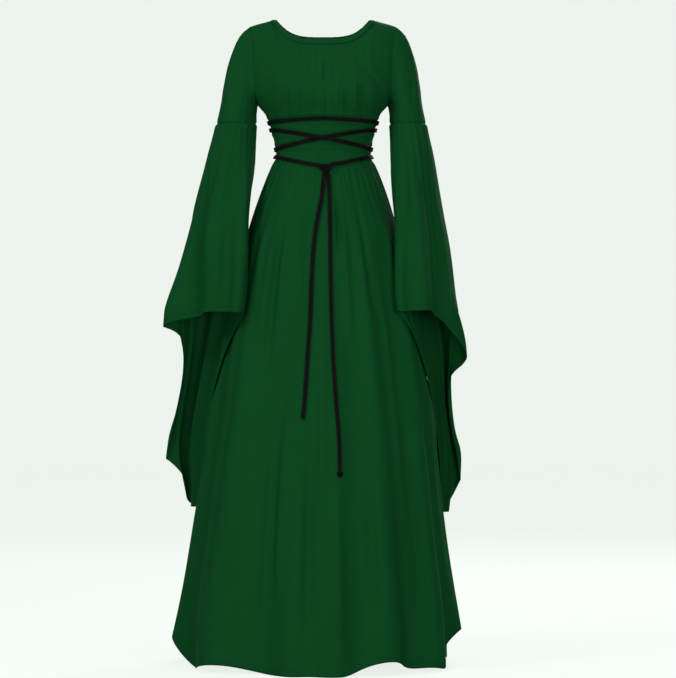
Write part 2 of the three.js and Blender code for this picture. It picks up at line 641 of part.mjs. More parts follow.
// An upper sleeve, from the armhole's loop to the seam at the elbow. The edge of the bodice turns its
// end faces to meet the sleeve's.
function upperSleeve(front, back, side, flare) {
  const loop = armholeLoop(front, back, side);
  const columns = loop.length;
  const start = loop.map((edges) => {
    const point = new THREE.Vector3();
    edges.forEach((edge) => point.addScaledVector(edge.point, 1 / edges.length));
    return point;
  });
  const rounds = start.map((_, i) => 90 - (360 * i) / columns);
  const seams = start.map((_, i) => {
    const [before, after] = [start[(i + columns - 1) % columns], start[(i + 1) % columns]];
    return new THREE.Vector3().subVectors(after, before).normalize();
  });
  // Each thread of the sleeve leaves the armhole outwards and down, and at front and back also straight
  // on from the bodice
  const leave = rounds.map((round, i) => {
    const high = (1 + Math.sin(radians(round))) / 2;
    const on = start[i].clone().sub(loop[i][0].behind);
    on.addScaledVector(seams[i], -on.dot(seams[i])).normalize();
    const down = new THREE.Vector3(side * (0.1 + 0.8 * Math.sqrt(high)), 0, -1 + 0.62 * high).normalize();
    return down.addScaledVector(on, 0.5 * Math.cos(radians(round)) ** 2).normalize();
  });
  const meet = start.map((_, i) => {
    const sleeveNormal = seams[i].clone().cross(leave[i]).normalize();
    sleeveNormal.multiplyScalar(side);
    const bodiceNormal = loop[i][0].normal.clone();
    if (loop[i].length > 1) bodiceNormal.setY(0).normalize();
    const shared = sleeveNormal.clone().add(bodiceNormal).normalize();
    return shared.multiplyScalar(Math.min(1 / shared.dot(bodiceNormal), MITRE_LIMIT));
  });
  loop.forEach((edges, i) => edges.forEach((edge) => edge.normal.copy(meet[i])));
  const away = meet.map((normal, i) => {
    const square = seams[i].clone().cross(normal).normalize();
    const on = start[i].clone().sub(loop[i][0].behind);
    return square.multiplyScalar(Math.sign(square.dot(on)));
  });
  const rows = [];
  for (let r = 0; r <= SLEEVE_ROWS; r += 1) {
    const t = r / SLEEVE_ROWS;
    const t2 = t * t;
    const t3 = t2 * t;
    rows.push(
      start.map((from, i) => {
        const begin = from.clone().addScaledVector(away[i], ARMHOLE_GAP);
        const finish = flareAt(flare, side, rounds[i], ELBOW_Z).setZ(ELBOW_Z + SEAM_GAP / 2);
        const length = begin.distanceTo(finish);
        const lean = 0.1 * (1 + Math.sin(radians(rounds[i])));
        const arrive = new THREE.Vector3(side * lean, 0, -1).multiplyScalar(length);
        const point = begin.multiplyScalar(2 * t3 - 3 * t2 + 1);
        point.addScaledVector(leave[i], CAP_ROUND * length * (t3 - 2 * t2 + t));
        point.addScaledVector(finish, 3 * t2 - 2 * t3);
        point.addScaledVector(arrive, t3 - t2);
        return { point, normal: meet[i].clone() };
      }),
    );
  }
  for (let r = 1; r <= SLEEVE_ROWS; r += 1) {
    rows[r].forEach((place, i) => {
      const across = rows[r][(i + 1) % columns].point.clone();
      across.sub(rows[r][(i + columns - 1) % columns].point);
      const down = rows[Math.min(r + 1, SLEEVE_ROWS)][i].point.clone();
      down.sub(rows[r - 1][i].point);
      place.normal = across.cross(down).multiplyScalar(side).normalize();
      if (r === SLEEVE_ROWS) place.normal.setZ(0).normalize();
    });
  }
  return rows;
}

function flareSleeve(side, flare) {
  const top = ELBOW_Z - SEAM_GAP / 2;
  return FLARE_ROWS.map((share) => {
    const row = [];
    for (let c = 0; c < FLARE_COLUMNS; c += 1) {
      const round = (360 * c) / FLARE_COLUMNS;
      const z = THREE.MathUtils.lerp(top, along(flare.mouth, "z", "turn", round), share);
      const point = flareAt(flare, side, round, z);
      const normal = flareNormal(flare, side, round, z);
      if (share === 0) normal.setZ(0).normalize();
      const gather = share === 0 ? 0 : FLARE_GATHER.height * bump(z - FLARE_GATHER.at, FLARE_GATHER.reach);
      point.addScaledVector(normal, c % 2 === 0 ? 0 : -gather);
      row.push({ point, normal });
    }
    return row;
  });
}

// One skirt panel, from the waist seam to the hem
function skirtPanel(face) {
  const middle = face === "front" ? 0 : 180;
  return SKIRT_ROWS.map((share) => {
    const row = [];
    for (let c = 0; c <= SKIRT_COLUMNS; c += 1) {
      const turn = middle - 90 + (180 * c) / SKIRT_COLUMNS;
      const z = THREE.MathUtils.lerp(waistSeam(turn) - WAIST_GAP, skirtHem(turn), share);
      const point = bodyAt(turn, z);
      const normal = bodyNormal(turn, z);
      const atSide = c === 0 || c === SKIRT_COLUMNS;
      if (share === 0 || share === 1) normal.setZ(0).normalize();
      if (atSide) {
        normal.setY(0).normalize();
        point.y += face === "front" ? -SEAM_GAP / 2 : SEAM_GAP / 2;
      }
      const sewn = share === 0 || atSide;
      const gather = sewn ? 0 : SKIRT_GATHER.height * bump(share - SKIRT_GATHER.at, SKIRT_GATHER.reach);
      point.addScaledVector(normal, c % 2 === 0 ? 0 : -gather);
      row.push({ point, normal });
    }
    return row;
  });
}

// A strand of lace wound round the waist, from the middle of the front to the side of the knot
function laceWrap(side) {
  const line = [];
  const knotSide = side > 0 ? KNOT.left : KNOT.right;
  LACE_LEGS.forEach((leg, number) => {
    const end = leg.end === LAST_TURN ? leg.end + side * turnAt(knotSide, KNOT.z) : leg.end;
    for (let i = number === 0 ? 0 : 1; i <= leg.steps; i += 1) {
      const turn = THREE.MathUtils.lerp(leg.start, end, i / leg.steps);
      let share = (turn - leg.start) / (leg.end - leg.start);
      if (leg.straight) {
        const [from, to] = [Math.sin(radians(leg.start)), Math.sin(radians(leg.end))];
        share = (Math.sin(radians(turn)) - from) / (to - from);
      }
      const z = THREE.MathUtils.lerp(leg.high, leg.low, share);
      let lift = LACE_CLEAR + LACE_THICK / 2;
      if (leg.end === LAST_TURN) {
        lift += KNOT_RISE.height * THREE.MathUtils.smoothstep(turn, end - KNOT_RISE.reach, end);
      }
      for (const crossing of side > 0 ? LACE_CROSSINGS : []) {
        const near = crossing.full + crossing.ramp - Math.abs(turn - crossing.turn);
        lift += LACE_HUMP * THREE.MathUtils.smoothstep(near, 0, crossing.ramp);
      }
      line.push(lyingOnBody(side * (turn === 0 ? LACE_START : turn), z, lift));
    }
  });
  return line;
}

// A point held off the cloth by a flat lace, which bridges the hollows that its width covers
function lyingOnBody(turn, z, lift) {
  const upper = bodyAt(turn, z + LACE_WIDTH / 2);
  const lower = bodyAt(turn, z - LACE_WIDTH / 2);
  const across = bodyAt(turn + 0.4, z).sub(bodyAt(turn - 0.4, z));
  const normal = lower.clone().sub(upper).cross(across).normalize();
  const middle = upper.add(lower).multiplyScalar(0.5);
  const swell = Math.max(bodyAt(turn, z).sub(middle).dot(normal), 0);
  return { point: middle.addScaledVector(normal, swell + lift), normal };
}

// The angle round the body at which the skirt's front surface stands at a given x
function turnAt(x, z) {
  let turn = 0;
  const halfWidth = along(BODY, x >= 0 ? "left" : "right", "z", z);
  for (let i = 0; i < 8; i += 1) {
    const wide = bodyAt(turn, z).x / Math.max(Math.abs(Math.sin(radians(turn))), 1e-6);
    turn = THREE.MathUtils.radToDeg(Math.asin(x / (i === 0 ? halfWidth : Math.abs(wide))));
  }
  return turn;
}

// A free end of the lace, lying down the front of the skirt
function laceTail(places) {
  return places.map(({ x, z }) => {
    const turn = turnAt(x, z);
    const lift = TAIL_CLEAR + LACE_THICK / 2;
    const point = bodyAt(turn, z);
    point.y -= lift;
    return { point, normal: new THREE.Vector3(0, -1, 0) };
  });
}

// A knot as a flattened ball that rests on the skirt
function knotBall({ x, z, width, height, thick, clear }) {
  const ball = new THREE.SphereGeometry(0.5, 16, 10);
  ball.scale(width, thick, height);
  const rest = bodyAt(turnAt(x, z), z).y - clear - thick / 2;
  ball.translate(x, rest, z);
  return ball;
}

const CLOTH = { color: 0x104522, roughness: 0.85, metalness: 0 };
const LACE = { color: 0x12100e, roughness: 0.8, metalness: 0 };

const gown = new THREE.Group();
gown.name = "medieval_gown";

function add(name, geometry, look) {
  const mesh = new THREE.Mesh(geometry, new THREE.MeshStandardMaterial({ name, ...look }));
  mesh.name = name;
  gown.add(mesh);
}

const flares = {
  left: { side: 1, sections: FLARE_LEFT, mouth: MOUTH_LEFT, folds: FLARE_FOLDS_LEFT },
  right: { side: -1, sections: FLARE_RIGHT, mouth: MOUTH_RIGHT, folds: FLARE_FOLDS_RIGHT },
};
const bodiceFront = bodicePanel("front");
const bodiceBack = bodicePanel("back");
for (const [name, flare] of Object.entries(flares)) {
  const sleeve = upperSleeve(bodiceFront, bodiceBack, flare.side, flare);
  add(`upper_sleeve_${name}`, clothWall(sleeve, WALL, true), CLOTH);
  add(`flare_sleeve_${name}`, clothWall(flareSleeve(flare.side, flare), WALL, true), CLOTH);
}
add("bodice_front", clothWall(bodiceFront, WALL), CLOTH);
add("bodice_back", clothWall(bodiceBack, WALL), CLOTH);
add("skirt_front", clothWall(skirtPanel("front"), WALL), CLOTH);
add("skirt_back", clothWall(skirtPanel("back"), WALL), CLOTH);

add("neck_casing", clothWall(neckCasing(), CASING_WALL, true, CASING_CLEAR + CASING_WALL), CLOTH);

add("lace_wrap_left", flatLace(laceWrap(1)), LACE);
add("lace_wrap_right", flatLace(laceWrap(-1)), LACE);
add("lace_knot", knotBall(KNOT), LACE);
add("lace_tail_left", flatLace(laceTail(TAIL_LEFT)), LACE);
add("lace_tail_right", flatLace(laceTail(TAIL_RIGHT)), LACE);
add("lace_end_knot", knotBall(END_KNOT), LACE);

export default gown;
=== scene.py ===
import math
import random

import bmesh
import bpy
import numpy as np
from mathutils import Matrix, Vector
from mathutils.bvhtree import BVHTree
from mathutils.kdtree import KDTree


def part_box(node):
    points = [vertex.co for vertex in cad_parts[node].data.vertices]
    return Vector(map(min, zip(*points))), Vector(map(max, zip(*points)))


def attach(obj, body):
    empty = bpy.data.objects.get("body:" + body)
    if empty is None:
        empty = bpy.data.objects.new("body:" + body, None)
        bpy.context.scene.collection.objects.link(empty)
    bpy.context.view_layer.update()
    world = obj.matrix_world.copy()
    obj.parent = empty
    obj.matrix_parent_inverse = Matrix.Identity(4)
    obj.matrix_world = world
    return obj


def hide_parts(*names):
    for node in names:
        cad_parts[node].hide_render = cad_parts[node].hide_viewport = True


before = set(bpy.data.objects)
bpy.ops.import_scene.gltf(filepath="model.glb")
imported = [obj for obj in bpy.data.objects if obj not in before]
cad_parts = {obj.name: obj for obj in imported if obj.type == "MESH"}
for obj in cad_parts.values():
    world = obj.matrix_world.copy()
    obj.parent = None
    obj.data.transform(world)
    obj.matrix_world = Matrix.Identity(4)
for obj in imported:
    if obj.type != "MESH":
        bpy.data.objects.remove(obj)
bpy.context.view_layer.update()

# The view
# The gown is seen straight from the front, with the camera level with its middle and far enough
# away that its depth hardly shows.
CAMERA_PLACE = (0.034, -7.0, -0.7155)
SENSOR = 0.036
VIEW_HEIGHT = 1.5255  # what the frame's 678 rows take in at the middle of the body
FRAME_SHAPE = 676 / 678  # the frame's width to its height

camera_data = bpy.data.cameras.new("camera")
camera_data.sensor_fit = "HORIZONTAL"
camera_data.sensor_width = 1000 * SENSOR
camera_data.lens = 1000 * SENSOR * -CAMERA_PLACE[1] / (VIEW_HEIGHT * FRAME_SHAPE)
camera_data.clip_end = 60
camera = bpy.data.objects.new("camera", camera_data)
camera.location = CAMERA_PLACE
camera.rotation_euler = (math.pi / 2, 0, 0)
bpy.context.scene.collection.objects.link(camera)
bpy.context.scene.camera = camera
bpy.context.scene.view_settings.view_transform = "Standard"


# The lace
# A flat braid of five soft strands over a thin core, about 3.7 m of it, near black with a brown
# fleck. It is wound twice round the waist, knotted at the front, and its two ends hang free.
LACE_WIDTH = 0.0095
LACE_THICKNESS = 0.0046
LACE_SIDES = 8  # corners of the CAD lace's section
STRANDS = 5
STRAND_RADIUS = 0.00135
CORE_RADIUS = 0.0009
CORE_PLACES = (-0.0022, 0, 0.0022)  # where the core's threads lie across the lace
BRAID_PITCH = 0.027
BRAID_STEP = 0.0018
PATH_EVERY = 8  # steps of the braid between two points taken from a free end's path
WRAP_START = (0, -0.1, -0.224)  # about where both wound strands begin, at the middle of the front
TAIL_START = (0.008, -0.1, -0.3507)  # about where both free ends leave the knot
KNOT_LOOP = (0.0118, 0.0036, 0.0092)  # reach of the knot's turns: sideways, forwards and upwards
END_KNOT_LOOP = (0.0052, 0.0036, 0.005)
KNOT_STEPS = 120
LACE_BLACK = (0.0016, 0.0015, 0.0014, 1)
LACE_BROWN = (0.0058, 0.0032, 0.0022, 1)
MERGE = 0.00002  # corners of loose triangles closer than this are one


class Value:
    """An output of a shader node. Arithmetic on it adds Math nodes, and node() adds any other node."""

    def __init__(self, tree, socket=None):
        self.tree = tree
        self.socket = socket

    def node(self, kind, settings, inputs, output=0):
        made = self.tree.nodes.new(kind)
        for name, setting in settings.items():
            if name == "stops":
                while len(made.color_ramp.elements) < len(setting):
                    made.color_ramp.elements.new(0.5)
                for element, (position, colour) in zip(made.color_ramp.elements, setting):
                    element.position = position
                    element.color = colour
            else:
                setattr(made, name, setting)
        for name, given in inputs.items():
            if isinstance(given, Value):
                self.tree.links.new(given.socket, made.inputs[name])
            else:
                made.inputs[name].default_value = given
        return Value(self.tree, made.outputs[output]) if made.outputs else None

    def math(self, operation, first, second):
        return self.node("ShaderNodeMath", {"operation": operation}, {0: first, 1: second})

    def __add__(self, other):
        return self.math("ADD", self, other)

    def __sub__(self, other):
        return self.math("SUBTRACT", self, other)

    def __rsub__(self, other):
        return self.math("SUBTRACT", other, self)

    def __mul__(self, other):
        return self.math("MULTIPLY", self, other)

    __radd__ = __add__
    __rmul__ = __mul__


def new_material(name):
    """An empty material, and a Value to build its nodes from"""
    material = bpy.data.materials.new(name)
    material.use_nodes = True
    material.node_tree.nodes.clear()
    return material, Value(material.node_tree)


def mixed(factor, first, second):
    """One colour that turns into another as the factor goes from 0 to 1"""
    inputs = {"Factor": factor, 6: first, 7: second}
    return factor.node("ShaderNodeMix", {"data_type": "RGBA"}, inputs, output=2)


def braided_lace():
    material, start = new_material("braided_lace")
    place = start.node("ShaderNodeTexCoord", {}, {}, output="Object")
    thread = start.node("ShaderNodeTexNoise", {}, {"Vector": place, "Scale": 1400.0, "Detail": 2.0})
    patch = start.node("ShaderNodeTexNoise", {}, {"Vector": place, "Scale": 160.0, "Detail": 1.0})
    stops = [(0.45, (0, 0, 0, 1)), (0.7, (1, 1, 1, 1))]
    brown = start.node("ShaderNodeValToRGB", {"stops": stops}, {"Fac": patch})
    colour = mixed(0.7 * brown, LACE_BLACK, LACE_BROWN)
    relief = {"Height": thread, "Strength": 0.5, "Distance": 0.0003}
    inputs = {
        "Base Color": colour,
        "Roughness": 0.55 + 0.2 * thread,
        "Normal": start.node("ShaderNodeBump", {}, relief),
        "Specular IOR Level": 0.1,
    }
    surface = start.node("ShaderNodeBsdfPrincipled", {}, inputs)
    start.node("ShaderNodeOutputMaterial", {}, {"Surface": surface})
    return material


def merged_copy(node):
    """A bmesh copy of a CAD node's mesh, with its loose triangles joined"""
    copy = bmesh.new()
    copy.from_mesh(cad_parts[node].data)
    bmesh.ops.remove_doubles(copy, verts=copy.verts, dist=MERGE)
    return copy


def lace_route(node, start):
    """The middles of the rings of a CAD lace, in order from start, each with the lace's own directions
    across it and out from the cloth"""
    copy = merged_copy(node)
    ring = sorted(copy.verts, key=lambda corner: (corner.co - Vector(start)).length)[:LACE_SIDES]
    seen = set(ring)
    route = []
    while ring:
        corners = np.array([corner.co for corner in ring])
        middle = corners.mean(axis=0)
        across, out = np.linalg.svd(corners - middle)[2][:2]
        if out @ np.array([middle[0], middle[1], 0]) < 0:
            out = -out
        if route and across @ route[-1][1] < 0:
            across = -across
        route.append((middle, across, out))
        near = {edge.other_vert(corner) for corner in ring for edge in corner.link_edges}
        ring = sorted(near - seen, key=lambda corner: corner.index)
        seen.update(ring)
    copy.free()
    return route


def smooth_route(route, step):
    """The same route with a smooth curve through its points, at even steps"""
    points = np.array([np.concatenate(place) for place in route])
    lengths = np.linalg.norm(np.diff(points[:, :3], axis=0), axis=1)
    at = np.concatenate([[0], np.cumsum(lengths)])
    slopes = np.gradient(points, at, axis=0)
    wanted = np.linspace(0, at[-1], max(2, round(at[-1] / step)))
    leg = np.clip(np.searchsorted(at, wanted) - 1, 0, len(at) - 2)
    span = (at[leg + 1] - at[leg])[:, None]
    t = (wanted[:, None] - at[leg][:, None]) / span
    smooth = (
        points[leg] * (2 * t**3 - 3 * t**2 + 1)
        + slopes[leg] * span * (t**3 - 2 * t**2 + t)
        + points[leg + 1] * (3 * t**2 - 2 * t**3)
        + slopes[leg + 1] * span * (t**3 - t**2)
    )
    return wanted, smooth[:, :3], smooth[:, 3:6], smooth[:, 6:]


def add_strand(curve, points, radius, closed=False):
    strand = curve.splines.new("POLY")
    strand.points.add(len(points) - 1)
    strand.points.foreach_set("co", np.column_stack([points, np.ones(len(points))]).ravel())
    strand.points.foreach_set("radius", np.full(len(points), radius))
    strand.use_cyclic_u = closed


def braid(name, along, middle, across, out, size=1.0, closed=False):
    """A mesh of five strands that cross over and under each other from side to side, and of its core"""
    turns = round(along[-1] / (BRAID_PITCH * size)) or 1
    reach = size * (LACE_WIDTH / 2 - STRAND_RADIUS)
    rise = size * (LACE_THICKNESS / 2 - STRAND_RADIUS)
    curve = bpy.data.curves.new(name, "CURVE")
    curve.dimensions = "3D"
    curve.bevel_depth = 1.0
    curve.bevel_resolution = 1
    curve.use_fill_caps = not closed
    for strand in range(STRANDS):
        phase = 2 * math.pi * (turns * along / along[-1] + strand / STRANDS)
        side = reach * np.sin(phase)[:, None]
        up = rise * np.sin((STRANDS - 1) * phase)[:, None]
        add_strand(curve, middle + side * across + up * out, size * STRAND_RADIUS, closed)
    for place in CORE_PLACES:
        add_strand(curve, middle + size * place * across, size * CORE_RADIUS, closed)
    tool = bpy.data.objects.new(name, curve)
    bpy.context.scene.collection.objects.link(tool)
    mesh = bpy.data.meshes.new_from_object(tool.evaluated_get(bpy.context.evaluated_depsgraph_get()))
    bpy.data.objects.remove(tool)
    return mesh


def knot_turns(place, reach):
    """The turns of a simple knot, as a closed route that passes three times over itself"""
    t = np.linspace(0, 2 * math.pi, KNOT_STEPS, endpoint=False)
    sideways = (np.sin(t) + 2 * np.sin(2 * t)) / 3
    upwards = (np.cos(t) - 2 * np.cos(2 * t)) / 3
    middle = np.column_stack([sideways, -np.sin(3 * t), upwards]) * np.array(reach) + np.array(place)
    ahead = np.roll(middle, -1, axis=0) - np.roll(middle, 1, axis=0)
    along = np.arange(KNOT_STEPS) * np.linalg.norm(ahead, axis=1).mean() / 2
    out = np.tile(np.array([0.0, -1.0, 0.0]), (KNOT_STEPS, 1))
    across = np.cross(ahead / np.linalg.norm(ahead, axis=1)[:, None], out)
    across /= np.linalg.norm(across, axis=1)[:, None]
    return along, middle, across, out


def add_piece(name, mesh, material, slot, *nodes):
    """A finished piece that rides on the gown and stands for CAD nodes"""
    mesh.name = name
    mesh.materials.clear()
    mesh.materials.append(material)
    mesh.polygons.foreach_set("use_smooth", np.ones(len(mesh.polygons), dtype=bool))
    piece = bpy.data.objects.new(name, mesh)
    bpy.context.scene.collection.objects.link(piece)
    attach(piece, "root")
    if nodes:
        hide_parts(*nodes)
    return piece


lace_finish = braided_lace()
lace_points = []  # places along the lace, which the cloth under it follows
for node in ("lace_wrap_left", "lace_wrap_right"):
    route = smooth_route(lace_route(node, WRAP_START), BRAID_STEP)
    lace_points.extend(route[1])
    add_piece(f"wound_{node[5:]}", braid(node, *route), lace_finish, "braided_lace", node)

knot_pieces = {}
for name, node, reach, size in (
    ("waist_knot", "lace_knot", KNOT_LOOP, 1.0),
    ("end_knot", "lace_end_knot", END_KNOT_LOOP, 0.55),
):
    low, high = (np.array(corner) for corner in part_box(node))
    lace_points.extend([(low + high) / 2, low, high])
    mesh = braid(name, *knot_turns((low + high) / 2, reach), size, closed=True)
    knot_pieces[name] = add_piece(name, mesh, lace_finish, "braided_lace", node)

for node, far_end, on_it in (
    ("lace_tail_left", "knot", [knot_pieces["end_knot"]]),
    ("lace_tail_right", "bare", []),
):
    along, middle, across, out = smooth_route(lace_route(node, TAIL_START), BRAID_STEP)
    lace_points.extend(middle)
    mesh = braid(node, along, middle, across, out)
    piece = add_piece(f"free_{node[5:]}", mesh, lace_finish, "braided_lace", node)
    [tuple(point) for point in middle[::PATH_EVERY]] + [tuple(middle[-1])]


# The bodice
# Front and back are one panel each, of a light crinkled dress cloth in dark green with a faint sheen.
# They are cut wide, drawn up by a casing at the neck, and drawn in at the waist by the lace, so that
# the cloth gathers above it and lies in cross creases between its turns.
CLOTH_THICKNESS = 0.0009
RIM_EDGE = 0.0034  # edges across the thickness of a CAD wall are shorter than this
UPRIGHT = 0.7  # an upright edge rises by at least this share of its length
CREASE_ENDS = 0.35  # share of a crease's length over which each of its ends dies out
GATHER_RANGE = {"place": (0.2, 0.8), "half": (0.24, 0.42), "length": (0.45, 1.6), "push": (0.5, 1.4)}
GATHER_RISE = 0.006  # gathers reach their height this far below the thread
CLOTH_GREEN = (0.0046, 0.056, 0.0145, 1)
CLOTH_DEEP = (0.0034, 0.047, 0.0115, 1)
HEM_REACH = 0.025  # the relief of a turned-up edge goes from the edge to here
NO_HEM = 1.0  # stands for the distance to the turned-up edge on a panel without one
HEM_RELIEF = (
    # share of that reach, height as a grey: the doubled cloth, the groove of the stitches, the cloth
    (0.00, (0.8, 0.8, 0.8, 1)),
    (0.38, (0.8, 0.8, 0.8, 1)),
    (0.44, (0.0, 0.0, 0.0, 1)),
    (0.52, (0.5, 0.5, 0.5, 1)),
    (1.00, (0.5, 0.5, 0.5, 1)),
)


def crinkled_cloth():
    material, start = new_material("gown_cloth")
    place = start.node("ShaderNodeTexCoord", {}, {}, output="UV")
    broad = start.node("ShaderNodeMapping", {}, {"Vector": place, "Scale": (14, 4, 1)})
    shade = start.node("ShaderNodeTexNoise", {}, {"Vector": broad, "Scale": 1.0, "Detail": 3.0})
    crinkle_place = start.node("ShaderNodeMapping", {}, {"Vector": place, "Scale": (230, 46, 1)})
    crinkle = start.node("ShaderNodeTexNoise", {}, {"Vector": crinkle_place, "Scale": 1.0, "Detail": 4.0})
    weave_place = start.node("ShaderNodeMapping", {}, {"Vector": place, "Scale": (1500, 1500, 1)})
    warp = start.node("ShaderNodeTexWave", {"bands_direction": "X"}, {"Vector": weave_place, "Scale": 0.3})
    weft = start.node("ShaderNodeTexWave", {"bands_direction": "Y"}, {"Vector": weave_place, "Scale": 0.3})
    weave = start.node("ShaderNodeBump", {}, {"Height": warp * weft, "Strength": 0.25, "Distance": 0.0002})
    from_hem = start.node("ShaderNodeAttribute", {"attribute_name": "from_hem"}, {}, output="Fac")
    share = from_hem * (1 / HEM_REACH)
    turned_edge = start.node("ShaderNodeValToRGB", {"stops": HEM_RELIEF}, {"Fac": share})
    hem = {"Height": turned_edge, "Strength": 0.8, "Distance": 0.0012, "Normal": weave}
    relief = {
        "Height": crinkle,
        "Strength": 0.5,
        "Distance": 0.0012,
        "Normal": start.node("ShaderNodeBump", {}, hem),
    }
    inputs = {
        "Base Color": mixed(shade, CLOTH_DEEP, CLOTH_GREEN),
        "Roughness": 0.68 + 0.2 * crinkle,
        "Normal": start.node("ShaderNodeBump", {}, relief),
        "Sheen Weight": 0.06,
        "Sheen Roughness": 0.4,
        "Sheen Tint": (0.04, 0.6, 0.2, 1),
        "Specular IOR Level": 0.02,
        "Specular Tint": (0.12, 0.8, 0.35, 1),
    }
    surface = start.node("ShaderNodeBsdfPrincipled", {}, inputs)
    start.node("ShaderNodeOutputMaterial", {}, {"Surface": surface})
    return material


def outer_skin(node, inside):
    """The outer face of a CAD wall, as quads. inside is a place in the hollow that it bends round, or
    None for all the faces."""
    skin = merged_copy(node)
    left = set()
    if inside:
        rim = [face for face in skin.faces if min(edge.calc_length() for edge in face.edges) < RIM_EDGE]
        bmesh.ops.delete(skin, geom=rim, context="FACES")
        left = set(skin.faces)
    while left:
        first = left.pop()
        island = [first]
        for face in island:
            near = {other for edge in face.edges for other in edge.link_faces} & left
            left -= near
            island.extend(near)
        away = sum(
            face.calc_area() * face.normal.dot(face.calc_center_median() - Vector(inside))
            for face in island
        )
        if away < 0:
            bmesh.ops.delete(skin, geom=island, context="FACES")
            left = {face for face in left if face.is_valid}
    bmesh.ops.join_triangles(
        skin,
        faces=skin.faces,
        angle_face_threshold=math.pi,
        angle_shape_threshold=math.pi,
        topology_influence=1.0,
    )
    return skin


def mesh_points(mesh):
    points = np.empty(3 * len(mesh.vertices))
    mesh.vertices.foreach_get("co", points)
    return points.reshape(-1, 3)


def refined(skin, rounds, longest):
    """The skin with a smooth surface through its own points, and its long upright edges cut to at most
    the longest. Rounding draws a surface in, so the points are first moved out by what it takes away."""
    cage = bpy.data.meshes.new("skin")
    skin.to_mesh(cage)
    skin.free()
    tool = bpy.data.objects.new("skin", cage)
    bpy.context.scene.collection.objects.link(tool)
    rounding = tool.modifiers.new("rounding", "SUBSURF")
    rounding.boundary_smooth = "PRESERVE_CORNERS"
    wanted = mesh_points(cage)
    for levels in (1, 1, rounds):
        rounding.levels = levels
        rounding.render_levels = levels
        mesh = bpy.data.meshes.new_from_object(tool.evaluated_get(bpy.context.evaluated_depsgraph_get()))
        lost = wanted - mesh_points(mesh)[:len(wanted)]
        cage.vertices.foreach_set("co", (mesh_points(cage) + lost).ravel())
        cage.update()
    bpy.data.objects.remove(tool)
    cloth = bmesh.new()
    cloth.from_mesh(mesh)
    upright = [
        edge
        for edge in cloth.edges
        if abs(edge.verts[0].co.z - edge.verts[1].co.z) > UPRIGHT * edge.calc_length()
    ]
    mean = sum(edge.calc_length() for edge in upright) / len(upright)
    cuts = math.ceil(mean / longest) - 1
    if cuts > 0:
        bmesh.ops.subdivide_edges(cloth, edges=upright, cuts=cuts, use_grid_fill=True)
    return cloth


def fading(distance, reach):
    """0 at no distance, rising softly to 1 at the reach"""
    share = np.clip(distance / reach, 0, 1)
    return share * share * (3 - 2 * share)


def creases(across, height, rows):
    """How far a table of creases pushes each point out. across is the points' place across the creases,
    and each row gives a crease's middle, half-width, top, foot and push."""
    push = np.zeros(len(across))
    for middle, half, top, foot, out in rows:
        share = (top - height) / (top - foot)
        ends = fading(share, CREASE_ENDS) * fading(1 - share, CREASE_ENDS)
        push += out * ends * np.exp(-(((across - middle) / half) ** 2))
    return push


def gathers(across, below, first, last, kind, seed):
    """Small uneven gathers side by side, strongest just below the thread that draws them up"""
    chance = random.Random(seed)
    spacing = (last - first) / kind["count"]
    out = np.zeros(len(across))
    for number in range(kind["count"]):
        middle = first + spacing * (number + chance.uniform(*GATHER_RANGE["place"]))
        half = spacing * chance.uniform(*GATHER_RANGE["half"])
        reach = kind["length"] * chance.uniform(*GATHER_RANGE["length"])
        height = kind["push"] * chance.uniform(*GATHER_RANGE["push"])
        fade = np.exp(-((below / reach) ** 2)) * fading(below, GATHER_RISE)
        out += height * fade * np.exp(-(((across - middle) / half) ** 2))
    return out * (below > 0)


def nearest_of(places):
    """A search tree that finds the nearest of the places"""
    tree = KDTree(len(places))
    for number, place in enumerate(places):
        tree.insert(place, number)
    tree.balance()
    return tree


class Panel:
    """One cut piece of cloth while it is being shaped: its mesh, and its points and their outward
    directions as arrays"""

    def __init__(self, node, inside, longest, rounds=2):
        cloth = refined(outer_skin(node, inside), rounds, longest)
        self.node = node
        self.mesh = bpy.data.meshes.new(node)
        cloth.to_mesh(self.mesh)
        self.edge_numbers = [corner.index for corner in cloth.verts if corner.is_boundary]
        self.edge_lines = [
            [corner.index for corner in edge.verts]
            for edge in cloth.edges
            if edge.is_boundary
        ]
        cloth.free()
        self.read()

    def read(self):
        self.points = mesh_points(self.mesh)
        self.out = np.array([corner.vector for corner in self.mesh.vertex_normals])

    def write(self, points):
        self.mesh.vertices.foreach_set("co", points.ravel())
        self.mesh.update()
        self.read()

    def push(self, distance):
        self.write(self.points + self.out * distance[:, None])

    def room(self, other, reach=0.03):
        """Half of the way from every point to the other panel's cloth, up to the reach"""
        faces = [tuple(face.vertices) for face in other.mesh.polygons]
        cloth = BVHTree.FromPolygons([tuple(point) for point in other.points], faces)
        ways = [cloth.find_nearest(point, reach)[3] for point in self.points]
        return np.array([reach if way is None else way for way in ways]) / 2

    def near(self, places):
        """The distance of every point to the nearest of the places"""
        tree = nearest_of(places)
        return np.array([tree.find(point)[2] for point in self.points])

    def edge(self, chosen):
        """The points of the panel's edge for which chosen holds"""
        edge = self.points[self.edge_numbers]
        return edge[chosen(edge)]

    def join(self, other, reach, ease):
        """Moves the edge onto the other panel's edge where they are sewn together, and the cloth beside
        it along with it, less and less over the ease"""
        line = np.array([
            other.points[a] * (1 - share) + other.points[b] * share
            for a, b in other.edge_lines
            for share in (0, 0.25, 0.5, 0.75)
        ])
        seam = nearest_of(line)
        moves = {}
        for number in self.edge_numbers:
            place, _, distance = seam.find(self.points[number])
            if distance < reach:
                moves[number] = np.array(place) - self.points[number]
        sewn = list(moves)
        edge = nearest_of(self.points[sewn])
        points = self.points.copy()
        for number, point in enumerate(self.points):
            _, nearest, distance = edge.find(point)
            if distance < ease:
                points[number] += moves[sewn[nearest]] * (1 - fading(distance, ease))
        self.write(points)


